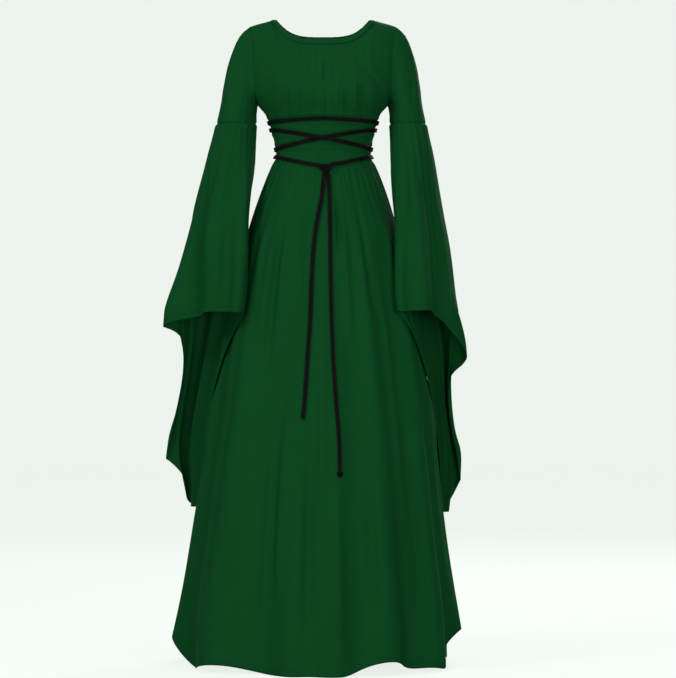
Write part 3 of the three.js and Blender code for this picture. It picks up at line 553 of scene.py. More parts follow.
def turned(points, middle=(0, 0)):
    """Degrees round an upright line, from the front towards the wearer's left"""
    return np.degrees(np.arctan2(points[:, 0] - middle[0], -(points[:, 1] - middle[1])))


def lay_weave(panel, across, length):
    """Gives the panel a flat map for its weave: metres across the cloth and along it. Where the cloth
    goes all the way round, the map starts again at its seam."""
    mesh = panel.mesh
    corners = np.empty(len(mesh.loops), dtype=np.int32)
    mesh.loops.foreach_get("vertex_index", corners)
    wide = across[corners]
    starts = np.empty(len(mesh.polygons), dtype=np.int32)
    totals = np.empty(len(mesh.polygons), dtype=np.int32)
    mesh.polygons.foreach_get("loop_start", starts)
    mesh.polygons.foreach_get("loop_total", totals)
    whole = across.max() - across.min()
    face = np.repeat(np.arange(len(starts)), totals)
    highest = np.maximum.reduceat(wide, starts)[face]
    wide = np.where(highest - wide > whole / 2, wide + whole, wide)
    weave = mesh.uv_layers.new(name="weave")
    weave.data.foreach_set("uv", np.column_stack([wide, length[corners]]).ravel())


def lay_body_weave(panel):
    """The weave of a bodice or skirt panel, laid out from its turn round the body"""
    around = turned(panel.points)
    if "back" in panel.node:
        around %= 360
    below, radii = zip(*BODY_RADII)
    radius = np.interp(-panel.points[:, 2], below, radii)
    lay_weave(panel, np.radians(around) * radius, panel.points[:, 2])


def mark_hem(panel, from_hem):
    """Keeps each point's distance from the turned-up edge, for the relief of the turned cloth"""
    kept = panel.mesh.attributes.new("from_hem", "FLOAT", "POINT")
    kept.data.foreach_set("value", from_hem)


def sew(panel, name):
    """Gives a shaped panel its thickness, unless it is closed already, and says what it is"""
    piece = add_piece(name, panel.mesh, cloth_finish, "gown_cloth", panel.node)
    if panel.edge_numbers:
        wall = piece.modifiers.new("thickness", "SOLIDIFY")
        wall.thickness = CLOTH_THICKNESS
        wall.offset = -1
    return piece


BODICE_CUTS = {
    # width, length, flat area
    "bodice_front": (0.46, 0.35, 0.13),
    "bodice_back": (0.44, 0.32, 0.115),
}
BODICE_INSIDE = (0, 0, -0.15)
BODICE_EDGE = 0.004  # longest upright edge of the panels' meshes
BODICE_SEEDS = {"front": (3, 11), "back": (5, 13)}  # for the gathers at the neck, and above the lace
SEAM = (0.004, 0.012)  # how near edges are that get sewn, and how far the cloth beside them eases
BODY_RADII = (
    # metres below the shoulders, radius that the weave is laid out at
    (0.30, 0.10),
    (0.35, 0.12),
    (0.70, 0.20),
    (1.45, 0.30),
)
NECK_GATHERS = {"count": 30, "push": 0.0016, "length": 0.035}
NECK_GATHERS_SIDE = 0.125  # the gathers lie between here and the same place on the other side
NECK_GATHERS_END = {"side": 0.118, "ease": 0.02}
# The weight of the bodice lets the front of the neck hang by this drop
NECK_SAG = {"drop": 0.010, "half": 0.108, "ease": 0.02, "foot": -0.13, "reach": 0.085}
CASING_DROP = 0.009  # the neck gathers begin this far below the neck edge
NECK_EDGE = {"side": 0.114, "lowest": -0.06}
ARMHOLE_EDGE = {"side": 0.118, "lowest": -0.20, "ease": 0.014}
UPPER_LACE_Z = -0.2205  # top edge of the highest turn of the lace
BODICE_GATHERS = {"count": 30, "push": 0.0026, "length": 0.042}
BODICE_GATHERS_SIDE = 0.105
BODICE_FRONT_FOLDS = (
    # place across, half-width, top, foot, push
    (0.0048, 0.0035, -0.082, -0.152, -0.0030),
    (-0.004, 0.0045, -0.080, -0.150, 0.0016),
    (0.014, 0.0050, -0.086, -0.156, 0.0018),
    (-0.104, 0.0110, -0.120, -0.232, 0.0036),
    (-0.086, 0.0070, -0.135, -0.240, -0.0026),
    (-0.066, 0.0080, -0.128, -0.226, 0.0030),
    (-0.047, 0.0055, -0.142, -0.230, -0.0022),
    (-0.030, 0.0065, -0.118, -0.224, 0.0026),
    (0.033, 0.0060, -0.122, -0.226, 0.0024),
    (0.052, 0.0055, -0.146, -0.230, -0.0024),
    (0.072, 0.0085, -0.124, -0.228, 0.0032),
    (0.091, 0.0065, -0.138, -0.236, -0.0024),
    (0.108, 0.0105, -0.116, -0.232, 0.0034),
)
BODICE_BACK_FOLDS = (
    (0.002, 0.0120, -0.070, -0.235, -0.0035),
    (-0.026, 0.0090, -0.100, -0.232, 0.0030),
    (-0.051, 0.0075, -0.125, -0.236, -0.0026),
    (-0.078, 0.0110, -0.090, -0.238, 0.0036),
    (-0.104, 0.0090, -0.128, -0.242, -0.0024),
    (0.030, 0.0085, -0.110, -0.234, 0.0028),
    (0.055, 0.0075, -0.120, -0.236, -0.0028),
    (0.083, 0.0115, -0.086, -0.240, 0.0036),
    (0.109, 0.0085, -0.132, -0.242, -0.0022),
)
# Soft drag lines from the underarms towards the chest: where each starts and ends, and its half-width
BODICE_DRAGS = (
    # from x, from z, to x, to z, half-width, push
    (0.146, -0.182, 0.060, -0.120, 0.0060, 0.0024),
    (0.142, -0.166, 0.072, -0.092, 0.0050, -0.0020),
    (0.138, -0.150, 0.084, -0.074, 0.0055, 0.0018),
)
CROSS_CREASES = (
    # height, half-height, from x, to x, push
    (-0.2430, 0.0022, -0.085, 0.020, 0.0012),
    (-0.2475, 0.0020, 0.010, 0.090, 0.0010),
    (-0.2600, 0.0025, 0.045, 0.100, 0.0014),
    (-0.2620, 0.0024, -0.100, -0.050, 0.0013),
    (-0.2910, 0.0026, -0.060, 0.055, 0.0014),
    (-0.2985, 0.0022, -0.085, -0.010, -0.0011),
    (-0.3010, 0.0024, 0.000, 0.080, 0.0012),
    (-0.3090, 0.0025, -0.050, 0.040, 0.0012),
)
# How far the cloth comes out to meet the lace that is drawn round it, and puffs out beside it
LACE_SEAT = {"push": 0.0008, "end": 0.03, "ease": 0.02}
LACE_PUFF = {"push": 0.0016, "at": 0.0115, "half": 0.0045}
UNDER_LACE = {"near": 0.0045, "ease": 0.003}  # creases die out this close to the lace


def lower_neck(panel):
    """Lets the front of the neck edge hang lower, less and less towards the shoulders and the chest"""
    x, y, z = panel.points.T
    across = 1 - np.minimum(np.abs(x) / NECK_SAG["half"], 1) ** 4
    share = across * fading(-y, NECK_SAG["ease"]) * fading(z - NECK_SAG["foot"], NECK_SAG["reach"])
    panel.write(panel.points - np.array([0, 0, NECK_SAG["drop"]]) * share[:, None])


def drag_lines(x, z):
    """How far the drag lines push each point out, on both sides of the body"""
    push = np.zeros(len(x))
    for start_x, start_z, end_x, end_z, half, out in BODICE_DRAGS:
        run = np.array([end_x - start_x, end_z - start_z])
        length = np.linalg.norm(run)
        for side in (1, -1):
            offset = np.column_stack([side * x - start_x, z - start_z])
            share = offset @ run / length**2
            away = (offset[:, 0] * run[1] - offset[:, 1] * run[0]) / length
            push += out * fading(share, 0.4) * fading(1 - share, 0.5) * np.exp(-((away / half) ** 2))
    return push


def cross_creases(across, z):
    """How far the creases between the turns of the lace push each point out"""
    push = np.zeros(len(across))
    for height, half, start, end, out in CROSS_CREASES:
        share = (across - start) / (end - start)
        push += out * fading(share, 0.3) * fading(1 - share, 0.3) * np.exp(-(((z - height) / half) ** 2))
    return push


def shape_bodice(panel, folds, face):
    """Gathers, folds and the waist drawn in by the lace, for one bodice panel"""
    x, z = panel.points[:, 0], panel.points[:, 2]
    neck_seed, waist_seed = BODICE_SEEDS[face]
    neck = panel.edge(
        lambda edge: (np.abs(edge[:, 0]) < NECK_EDGE["side"]) & (edge[:, 2] > NECK_EDGE["lowest"])
    )
    below_neck = panel.near(neck) - CASING_DROP
    push = gathers(x, below_neck, -NECK_GATHERS_SIDE, NECK_GATHERS_SIDE, NECK_GATHERS, neck_seed)
    push *= fading(NECK_GATHERS_END["side"] - np.abs(x), NECK_GATHERS_END["ease"])
    above_lace = z - UPPER_LACE_Z
    push += gathers(x, above_lace, -BODICE_GATHERS_SIDE, BODICE_GATHERS_SIDE, BODICE_GATHERS, waist_seed)
    push += creases(x, z, folds) + drag_lines(x, z)
    push += cross_creases(x if face == "front" else -x, z)
    to_lace = panel.near(lace_points)
    push += LACE_PUFF["push"] * np.exp(-(((to_lace - LACE_PUFF["at"]) / LACE_PUFF["half"]) ** 2))
    push *= fading(to_lace - UNDER_LACE["near"], UNDER_LACE["ease"])
    push += LACE_SEAT["push"] * fading(LACE_SEAT["end"] - to_lace, LACE_SEAT["ease"])
    armhole = panel.edge(
        lambda edge: (np.abs(edge[:, 0]) > ARMHOLE_EDGE["side"]) & (edge[:, 2] > ARMHOLE_EDGE["lowest"])
    )
    push *= fading(panel.near(armhole), ARMHOLE_EDGE["ease"])
    panel.push(push)


cloth_finish = crinkled_cloth()
panels = {}
for face, folds in (("front", BODICE_FRONT_FOLDS), ("back", BODICE_BACK_FOLDS)):
    panel = Panel(f"bodice_{face}", BODICE_INSIDE, BODICE_EDGE)
    lower_neck(panel)
    shape_bodice(panel, folds, face)
    panels[panel.node] = panel
panels["bodice_back"].join(panels["bodice_front"], *SEAM)
for node, (width, length, area) in BODICE_CUTS.items():
    lay_body_weave(panels[node])
    mark_hem(panels[node], np.full(len(panels[node].points), NO_HEM))
    sew(panels[node], f"cloth_{node}")


# The skirt
# Two wide panels, sewn up the sides and gathered into the waist seam, so that small gathers run out
# into long soft folds that open towards the hem.
SKIRT_CUTS = {
    # width, length, flat area
    "skirt_front": (1.10, 1.17, 0.98),
    "skirt_back": (1.12, 1.17, 1.00),
}
SKIRT_INSIDE = (0, 0, -0.8)
SKIRT_EDGE = 0.009
SKIRT_SEEDS = {"front": 21, "back": 23}
WAIST_SEAM = (0.008, 0.020)
WAIST_EDGE_LOWEST = -0.35
HEM_HIGHEST = -1.1
SIDE_SEAM_Y = 0.004  # the side seams lie between here and the same place behind
HEM_DEPTH = 0.011
STITCH = {"length": 0.0028, "pitch": 0.0042, "width": 0.0006, "height": 0.0005, "rise": 0.0001}
FLARE_INSIDE = {"left": (0.22, -0.04, -0.6), "right": (-0.22, -0.04, -0.6)}
FLARE_EDGE = 0.007
SLEEVE_CLEARANCE = 0.0012  # pushes end this far short of the middle between skirt and sleeve
SKIRT_UNDER_LACE = {"near": 0.006, "ease": 0.014}
SKIRT_GATHERS = {"count": 42, "push": 0.0021, "length": 0.075}
SKIRT_FRONT_FOLDS = (
    # turn, half-width, top, foot, push
    (-89, 11.0, -0.660, -0.980, 0.0108),
    (89, 11.0, -0.660, -0.980, 0.0098),
    (-80, 4.2, -0.560, -1.300, 0.0088),
    (-72, 3.5, -0.420, -1.050, -0.0070),
    (-65, 4.5, -0.360, -0.920, 0.0062),
    (-58, 3.0, -0.700, -1.380, -0.0091),
    (-53, 3.5, -0.380, -0.800, 0.0054),
    (-44, 3.8, -0.430, -0.760, 0.0065),
    (-38, 2.9, -0.390, -0.900, -0.0062),
    (-33, 3.4, -0.450, -0.740, 0.0068),
    (-29, 2.6, -0.880, -1.420, 0.0077),
    (-21, 2.9, -0.860, -1.330, 0.0105),
    (-17, 2.4, -0.380, -0.660, -0.0046),
    (-12, 2.9, -0.480, -0.980, 0.0046),
    (-7, 2.2, -0.930, -1.400, -0.0070),
    (0, 2.7, -0.620, -1.180, 0.0064),
    (7, 2.4, -1.010, -1.430, 0.0081),
    (15, 2.6, -0.385, -0.540, -0.0076),
    (19, 2.9, -0.400, -0.760, 0.0054),
    (24, 2.6, -0.980, -1.390, -0.0077),
    (31, 4.2, -0.470, -0.960, 0.0070),
    (37, 2.9, -0.380, -0.700, -0.0054),
    (45, 3.5, -0.520, -1.140, 0.0077),
    (50, 2.9, -0.840, -1.400, -0.0088),
    (61, 3.7, -0.390, -0.960, 0.0062),
    (67, 3.2, -0.620, -1.280, -0.0074),
    (76, 4.2, -0.460, -1.160, 0.0088),
    (84, 3.5, -0.800, -1.380, -0.0064),
)
SKIRT_BACK_FOLDS = (
    (89, 11.0, -0.660, -0.980, 0.0098),
    (271, 11.0, -0.660, -0.980, 0.0108),
    (96, 3.5, -0.560, -1.240, 0.0081),
    (108, 3.0, -0.400, -0.860, -0.0059),
    (113, 3.4, -0.780, -1.400, 0.0074),
    (125, 3.5, -0.480, -1.060, 0.0088),
    (130, 2.7, -0.900, -1.430, -0.0081),
    (140, 3.2, -0.400, -0.760, 0.0059),
    (144, 2.7, -0.620, -1.260, -0.0070),
    (155, 3.5, -0.440, -0.940, 0.0068),
    (159, 2.6, -0.960, -1.400, 0.0070),
    (169, 3.0, -0.390, -0.820, -0.0068),
    (173, 3.2, -0.700, -1.200, 0.0077),
    (183, 3.8, -0.420, -1.020, 0.0091),
    (188, 2.7, -0.860, -1.390, -0.0081),
    (199, 3.2, -0.460, -0.880, 0.0059),
    (204, 2.9, -0.660, -1.320, -0.0074),
    (214, 3.7, -0.400, -0.960, 0.0068),
    (219, 2.6, -0.940, -1.420, 0.0074),
    (229, 3.2, -0.520, -1.120, -0.0081),
    (234, 3.4, -0.380, -0.740, 0.0059),
    (246, 3.8, -0.600, -1.300, 0.0088),
    (251, 2.9, -0.420, -0.900, -0.0054),
    (262, 3.7, -0.740, -1.360, 0.0081),
)


def sewing_line(panel, distance, inset):
    """Where the distance passes the inset: short pieces of line, chained into rows of places with the
    cloth's own outward directions"""
    crossings = {}
    pieces = {}
    for face in panel.mesh.polygons:
        corners = list(face.vertices)
        found = []
        for a, b in zip(corners, corners[1:] + corners[:1]):
            if (distance[a] < inset) != (distance[b] < inset):
                key = (min(a, b), max(a, b))
                share = (inset - distance[a]) / (distance[b] - distance[a])
                place = panel.points[a] * (1 - share) + panel.points[b] * share
                crossings[key] = (place, panel.out[a] * (1 - share) + panel.out[b] * share)
                found.append(key)
        if len(found) == 2:
            for here, there in (found, found[::-1]):
                pieces.setdefault(here, []).append(there)
    rows = []
    left = set(pieces)
    while left:
        ends = [key for key in left if len(pieces[key]) == 1]
        here = min(ends or left)
        row = []
        while here is not None:
            left.discard(here)
            row.append(crossings[here])
            here = next((there for there in pieces[here] if there in left), None)
        rows.append(row)
    return rows


def add_stitches(name, panel, distance, inset):
    """A row of small machine stitches that lies on the cloth at an even distance from an edge"""
    thread = bmesh.new()
    for row in sewing_line(panel, distance, inset):
        places = np.array([place for place, _ in row])
        outward = np.array([out for _, out in row])
        run = np.concatenate([[0], np.cumsum(np.linalg.norm(np.diff(places, axis=0), axis=1))])
        for start in np.arange(0, run[-1] - STITCH["length"], STITCH["pitch"]):
            ends = [
                np.array([np.interp(at, run, places[:, axis]) for axis in range(3)])
                for at in (start, start + STITCH["length"])
            ]
            up = Vector([np.interp(start, run, outward[:, axis]) for axis in range(3)]).normalized()
            ahead = Vector(ends[1] - ends[0])
            side = up.cross(ahead).normalized()
            turn = Matrix((ahead.normalized(), side, up)).transposed().to_4x4()
            place = Matrix.Translation(Vector((ends[0] + ends[1]) / 2) + up * STITCH["rise"])
            shape = Matrix.Diagonal((ahead.length, STITCH["width"], STITCH["height"], 1))
            bmesh.ops.create_cube(thread, size=1, matrix=place @ turn @ shape)
    mesh = bpy.data.meshes.new(name)
    thread.to_mesh(mesh)
    thread.free()
    add_piece(name, mesh, thread_finish, "gown_cloth")


def green_thread():
    material, start = new_material("sewing_thread")
    place = start.node("ShaderNodeTexCoord", {}, {}, output="Object")
    twist = start.node("ShaderNodeTexNoise", {}, {"Vector": place, "Scale": 900.0, "Detail": 1.0})
    inputs = {
        "Base Color": mixed(twist, CLOTH_DEEP, CLOTH_GREEN),
        "Roughness": 0.6 + 0.2 * twist,
        "Specular IOR Level": 0.1,
    }
    surface = start.node("ShaderNodeBsdfPrincipled", {}, inputs)
    start.node("ShaderNodeOutputMaterial", {}, {"Surface": surface})
    return material


def shape_skirt(panel, folds, face, rooms):
    """Gathers under the waist seam and the long folds, for one skirt panel. They die out under the
    lace, and leave the room that there is beside the sleeves."""
    turn = turned(panel.points)
    middle = 0
    if face == "back":
        turn %= 360
        middle = 180
    seam = panel.edge(lambda edge: edge[:, 2] > WAIST_EDGE_LOWEST)
    below = panel.near(seam)
    push = gathers(turn, below, middle - 90, middle + 90, SKIRT_GATHERS, SKIRT_SEEDS[face])
    push += creases(turn, panel.points[:, 2], folds)
    push *= fading(panel.near(lace_points) - SKIRT_UNDER_LACE["near"], SKIRT_UNDER_LACE["ease"])
    for room in rooms:
        push = np.minimum(push, room - SLEEVE_CLEARANCE)
    panel.push(push)


thread_finish = green_thread()
for face in ("front", "back"):
    panels[f"skirt_{face}"] = Panel(f"skirt_{face}", SKIRT_INSIDE, SKIRT_EDGE)
# The flares hang beside the skirt, so their panels are made here, and each takes half of the room
for side in ("left", "right"):
    panels[f"flare_sleeve_{side}"] = Panel(f"flare_sleeve_{side}", FLARE_INSIDE[side], FLARE_EDGE)
rooms = {
    (here, there): panels[here].room(panels[there])
    for skirt in ("skirt_front", "skirt_back")
    for flare in ("flare_sleeve_left", "flare_sleeve_right")
    for here, there in ((skirt, flare), (flare, skirt))
}
for face, folds in (("front", SKIRT_FRONT_FOLDS), ("back", SKIRT_BACK_FOLDS)):
    skirt = f"skirt_{face}"
    beside = [room for (here, there), room in rooms.items() if here == skirt]
    shape_skirt(panels[skirt], folds, face, beside)
panels["skirt_back"].join(panels["skirt_front"], *SEAM)
for face in ("front", "back"):
    panels[f"skirt_{face}"].join(panels[f"bodice_{face}"], *WAIST_SEAM)
for node, (width, length, area) in SKIRT_CUTS.items():
    panel = panels[node]
    hem = panel.edge(lambda edge: (edge[:, 2] < HEM_HIGHEST) & (np.abs(edge[:, 1]) > SIDE_SEAM_Y))
    from_hem = panel.near(hem)
    lay_body_weave(panel)
    add_stitches(f"stitches_{node}", panel, from_hem, HEM_DEPTH)
    mark_hem(panel, from_hem)
    sew(panel, f"cloth_{node}")


# The sleeves
# Each is an upper sleeve down to a gathered seam at the elbow, and a trumpet flare that is short in
# front and long behind, open to its edge.
SLEEVE_CUTS = {
    # width, length, flat area
    "flare_sleeve_left": (0.66, 0.90, 0.31),
    "flare_sleeve_right": (0.68, 0.88, 0.33),
    "upper_sleeve_left": (0.37, 0.24, 0.050),
    "upper_sleeve_right": (0.37, 0.24, 0.050),
}
SLEEVE_MIDDLES = {
    # height, and the middle's place there
    "left": (
        (-0.232, 0.191, -0.002),
        (-0.425, 0.215, -0.028),
        (-0.650, 0.229, -0.054),
        (-0.760, 0.249, -0.016),
        (-0.943, 0.270, 0.020),
        (-1.115, 0.271, 0.034),
    ),
    "right": (
        (-0.232, -0.194, -0.002),
        (-0.425, -0.228, -0.028),
        (-0.650, -0.241, -0.054),
        (-0.760, -0.264, -0.016),
        (-0.943, -0.295, 0.020),
        (-1.090, -0.293, 0.030),
    ),
}
SIDE_SIGN = {"left": 1, "right": -1}
UPPER_INSIDE = {"left": (0.19, 0, -0.12), "right": (-0.19, 0, -0.12)}
UPPER_EDGE = 0.004
SLEEVE_SEEDS = {"cap": 31, "elbow": 33, "flare": 35}
SLEEVE_RADIUS = 0.06  # that the weave of the sleeves is laid out at
ELBOW_SEAM = (0.014, 0.045)
CUFF_BELOW_ELBOW = 0.05  # a flare's edge that is lower than this is its open cuff
CAP_EASE = 0.012
CAP_GATHERS = {"count": 26, "push": 0.0014, "length": 0.020}
ELBOW_GATHERS = {"count": 30, "push": 0.0014, "length": 0.022}
FLARE_GATHERS = {"count": 30, "push": 0.0024, "length": 0.065}
ELBOW_Z = -0.232
NEAR_ELBOW = 0.01
ELBOW_PINCH = {"depth": 0.0005, "reach": 0.008}
UPPER_SLEEVE_FOLDS = (
    # round (0 front, 90 outer, 180 back), half-width, top, foot, push
    (-50, 14, -0.100, -0.215, -0.0024),
    (-20, 12, -0.070, -0.190, 0.0026),
    (14, 10, -0.110, -0.222, -0.0026),
    (42, 12, -0.040, -0.180, 0.0022),
    (76, 14, -0.080, -0.218, -0.0018),
    (112, 13, -0.060, -0.200, 0.0024),
    (150, 12, -0.095, -0.220, -0.0026),
    (184, 14, -0.070, -0.195, 0.0026),
    (222, 13, -0.110, -0.215, -0.0024),
)
FLARE_FOLDS_LEFT = (
    (-70, 6, -0.300, -0.600, 0.0040),
    (-50, 5, -0.270, -0.520, -0.0040),
    (-24, 6, -0.330, -0.640, 0.0048),
    (-12, 4, -0.250, -0.460, -0.0036),
    (9, 5, -0.420, -0.640, -0.0046),
    (16, 4, -0.250, -0.400, 0.0034),
    (36, 6, -0.320, -0.660, 0.0044),
    (52, 5, -0.260, -0.560, -0.0040),
    (78, 7, -0.340, -0.700, 0.0044),
    (90, 5, -0.560, -0.940, -0.0040),
    (118, 5, -0.420, -0.900, 0.0046),
    (142, 6, -0.300, -0.700, -0.0044),
    (148, 5, -0.720, -1.060, 0.0042),
    (172, 6, -0.340, -0.820, 0.0046),
    (176, 4, -0.760, -1.070, -0.0036),
    (204, 6, -0.300, -0.720, -0.0044),
    (234, 6, -0.280, -0.640, 0.0040),
)
FLARE_FOLDS_RIGHT = (
    (-90, 16, -0.700, -0.960, 0.0050),
    (262, 34, -0.700, -0.960, 0.0050),
    (-64, 6, -0.280, -0.560, -0.0040),
    (-36, 6, -0.300, -0.600, 0.0048),
    (-6, 5, -0.260, -0.480, -0.0044),
    (-2, 4, -0.440, -0.640, 0.0036),
    (21, 5, -0.290, -0.640, 0.0050),
    (27, 4, -0.400, -0.650, -0.0036),
    (50, 6, -0.250, -0.520, 0.0038),
    (58, 5, -0.380, -0.640, -0.0040),
    (82, 7, -0.300, -0.680, 0.0044),
    (92, 24, -0.640, -1.020, 0.0100),
    (100, 5, -0.560, -0.900, 0.0036),
    (116, 6, -0.360, -0.860, -0.0042),
    (145, 6, -0.300, -0.740, 0.0046),
    (150, 5, -0.760, -1.050, -0.0040),
    (176, 6, -0.340, -0.840, -0.0044),
    (182, 5, -0.700, -1.050, 0.0040),
    (206, 6, -0.280, -0.640, 0.0046),
    (238, 6, -0.300, -0.600, -0.0038),
)


def sleeve_middle(side, heights):
    rows = np.array(SLEEVE_MIDDLES[side])[::-1]
    return np.interp(heights, rows[:, 0], rows[:, 1]), np.interp(heights, rows[:, 0], rows[:, 2])


def sleeve_round(side, points):
    """Degrees round a sleeve, from -90 at its inner side: 0 is its front, 90 its outer side"""
    x, y = sleeve_middle(side, points[:, 2])
    outwards = SIDE_SIGN[side] * (points[:, 0] - x)
    return (np.degrees(np.arctan2(outwards, -(points[:, 1] - y))) + 90) % 360 - 90


def pinch(panel, places):
    """Draws the cloth in beside a gathered seam"""
    reach = ELBOW_PINCH["reach"]
    panel.push(-ELBOW_PINCH["depth"] * (1 - fading(panel.near(places), reach)))


def upper_sleeve(side):
    """The panel of one upper sleeve, gathered at both of its seams"""
    upper = Panel(f"upper_sleeve_{side}", UPPER_INSIDE[side], UPPER_EDGE, rounds=3)
    around = sleeve_round(side, upper.points)
    armhole = upper.edge(lambda edge: edge[:, 2] > ELBOW_Z + NEAR_ELBOW)
    elbow = upper.edge(lambda edge: edge[:, 2] < ELBOW_Z + NEAR_ELBOW)
    push = gathers(around, upper.near(armhole), -90, 270, CAP_GATHERS, SLEEVE_SEEDS["cap"])
    push += gathers(around, upper.near(elbow), -90, 270, ELBOW_GATHERS, SLEEVE_SEEDS["elbow"])
    push += creases(around, upper.points[:, 2], UPPER_SLEEVE_FOLDS)
    push *= fading(upper.near(armhole), CAP_EASE)
    upper.push(push)
    pinch(upper, upper.edge(lambda edge: edge[:, 2] < ELBOW_Z + NEAR_ELBOW))
    return upper


def shape_flare(flare, side, folds):
    """Gathers under the elbow seam and the long folds of one flare. They leave the room that there is
    beside the skirt."""
    around = sleeve_round(side, flare.points)
    elbow = flare.edge(lambda edge: edge[:, 2] > ELBOW_Z - NEAR_ELBOW)
    push = gathers(around, flare.near(elbow), -90, 270, FLARE_GATHERS, SLEEVE_SEEDS["flare"])
    push += creases(around, flare.points[:, 2], folds)
    for skirt in ("skirt_front", "skirt_back"):
        push = np.minimum(push, rooms[flare.node, skirt] - SLEEVE_CLEARANCE)
    flare.push(push)
    pinch(flare, flare.edge(lambda edge: edge[:, 2] > ELBOW_Z - NEAR_ELBOW))


for side, flare_folds in (("left", FLARE_FOLDS_LEFT), ("right", FLARE_FOLDS_RIGHT)):
    upper = upper_sleeve(side)
    panels[upper.node] = upper
    flare = panels[f"flare_sleeve_{side}"]
    shape_flare(flare, side, flare_folds)
    upper.join(panels["bodice_front"], *SEAM)
    upper.join(panels["bodice_back"], *SEAM)
    flare.join(upper, *ELBOW_SEAM)
for node, (width, length, area) in SLEEVE_CUTS.items():
    panel = panels[node]
    around = sleeve_round("left" if "left" in node else "right", panel.points)
    lay_weave(panel, np.radians(around) * SLEEVE_RADIUS, panel.points[:, 2])
    from_hem = np.full(len(panel.points), NO_HEM)
    if "flare" in node:
        cuff = panel.edge(lambda edge: edge[:, 2] < ELBOW_Z - CUFF_BELOW_ELBOW)
        from_hem = panel.near(cuff)
        add_stitches(f"stitches_{node}", panel, from_hem, HEM_DEPTH)
    mark_hem(panel, from_hem)
    sew(panel, f"cloth_{node}")


# The neck casing
# A strip of the same cloth, folded round the neck edge and drawn up on a cord of elastic, so that its
# outer side ripples while its inner side lies on the bodice.
CASING_RIPPLES = {"count": 70, "push": 0.0013, "length": 0.05}
CASING_SEED = 41
CASING_EDGE = 0.002
CASING_DEPTH = 0.008  # a place well inside the strip, where the ripples are at their full height
CASING_SEAT = 0.0014  # how far the inner side sinks towards the bodice, so that no gap is left
CASING_RADIUS = 0.11
casing = Panel("neck_casing", None, CASING_EDGE)
lower_neck(casing)
under = [panels["bodice_front"], panels["bodice_back"]]
under_out = np.vstack([panel.out for panel in under])
tree = nearest_of(np.vstack([panel.points for panel in under]))
facing = np.array([
    out @ under_out[tree.find(point)[1]] for point, out in zip(casing.points, casing.out)
])
outer = fading(facing + 0.5, 1.0)  # 1 on the side that shows, 0 on the side that lies on the bodice
turn = turned(casing.points)
ripple = gathers(turn, np.full(len(turn), CASING_DEPTH), -180, 180, CASING_RIPPLES, CASING_SEED)
casing.push(outer * ripple + (1 - outer) * CASING_SEAT)
lay_weave(casing, np.radians(turn) * CASING_RADIUS, casing.points[:, 2])
mark_hem(casing, np.full(len(casing.points), NO_HEM))
sew(casing, "casing_strip")


# The room
# A pale studio floor that curves up into a wall all round, far enough away for any view. It glows a
# little, so that it is even, and it throws no light on the gown, which has its own soft lamps.
FLOOR_Z = float(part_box("skirt_front")[0][2])
ROOM_GLOW = (0.86, 0.90, 0.86, 1)
ROOM_GLOW_STRENGTH = 0.93
ROOM_PAINT = (0.14, 0.146, 0.14, 1)
AMBIENT = (0.95, 1.0, 0.96, 1)
AMBIENT_STRENGTH = 0.34
ROOM = {"half": 13.0, "curve": 3.0, "height": 9.0, "curve_steps": 12, "turn_steps": 64}
LAMPS = (
    # name, place, width, power, what it is aimed at
    ("key", (-2.7, -2.3, 1.8), 1.0, 68, (0, 0, -0.4)),
    ("front", (1.3, -3.2, -0.2), 1.2, 24, (0, 0, -0.4)),
    ("low_right", (-1.15, -3.4, -0.9), 0.8, 24, (-0.2, 0, -0.8)),
    ("low_left", (1.15, -3.4, -0.9), 0.8, 24, (0.2, 0, -0.8)),
    ("top", (0.0, -0.8, 3.0), 1.6, 20, (0, 0, -0.5)),
    ("back", (1.6, 2.8, 1.4), 1.6, 95, (0, 0, -0.5)),
)

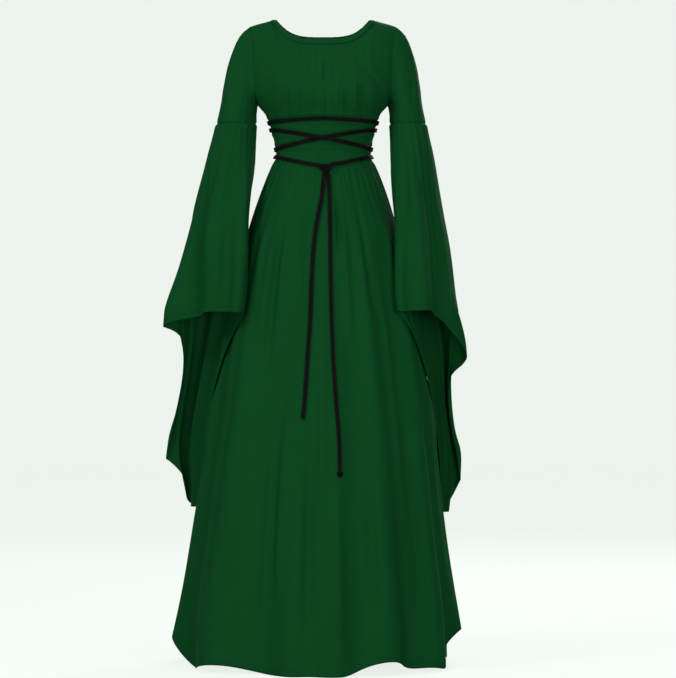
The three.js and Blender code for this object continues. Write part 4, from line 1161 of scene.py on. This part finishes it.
room = bmesh.new()
profile = [(0.0, 0.0), (ROOM["half"] - ROOM["curve"], 0.0)]
for step in range(1, ROOM["curve_steps"] + 1):
    angle = math.radians(90 * step / ROOM["curve_steps"])
    out = ROOM["half"] - ROOM["curve"] + ROOM["curve"] * math.sin(angle)
    profile.append((out, ROOM["curve"] * (1 - math.cos(angle))))
profile.append((ROOM["half"], ROOM["height"]))
line = [room.verts.new((out, 0, FLOOR_Z + up)) for out, up in profile]
edges = [room.edges.new(pair) for pair in zip(line, line[1:])]
bmesh.ops.spin(
    room, geom=line + edges, cent=(0, 0, 0), axis=(0, 0, 1), angle=2 * math.pi,
    steps=ROOM["turn_steps"], use_merge=True,
)
bmesh.ops.remove_doubles(room, verts=room.verts, dist=0.001)
bmesh.ops.recalc_face_normals(room, faces=room.faces)
bmesh.ops.reverse_faces(room, faces=room.faces)
floor_mesh = bpy.data.meshes.new("floor")
room.to_mesh(floor_mesh)
room.free()
floor_mesh.polygons.foreach_set("use_smooth", np.ones(len(floor_mesh.polygons), dtype=bool))
floor_finish, start = new_material("floor")
paint = {"Base Color": ROOM_PAINT, "Roughness": 0.9, "Specular IOR Level": 0.0}
glow = {"Emission Color": ROOM_GLOW, "Emission Strength": ROOM_GLOW_STRENGTH}
surface = start.node("ShaderNodeBsdfPrincipled", {}, paint | glow)
start.node("ShaderNodeOutputMaterial", {}, {"Surface": surface})
floor_mesh.materials.append(floor_finish)
floor = bpy.data.objects.new("floor", floor_mesh)
floor.visible_diffuse = False
floor.visible_glossy = False
bpy.context.scene.collection.objects.link(floor)

world = bpy.data.worlds.new("world")
world.use_nodes = True
world.node_tree.nodes["Background"].inputs["Color"].default_value = AMBIENT
world.node_tree.nodes["Background"].inputs["Strength"].default_value = AMBIENT_STRENGTH
bpy.context.scene.world = world
for name, place, width, power, aim in LAMPS:
    light = bpy.data.lights.new(name, "AREA")
    light.size = width
    light.energy = power
    lamp = bpy.data.objects.new(name, light)
    lamp.location = place
    lamp.rotation_euler = (Vector(aim) - Vector(place)).to_track_quat("-Z", "Y").to_euler()
    bpy.context.scene.collection.objects.link(lamp)
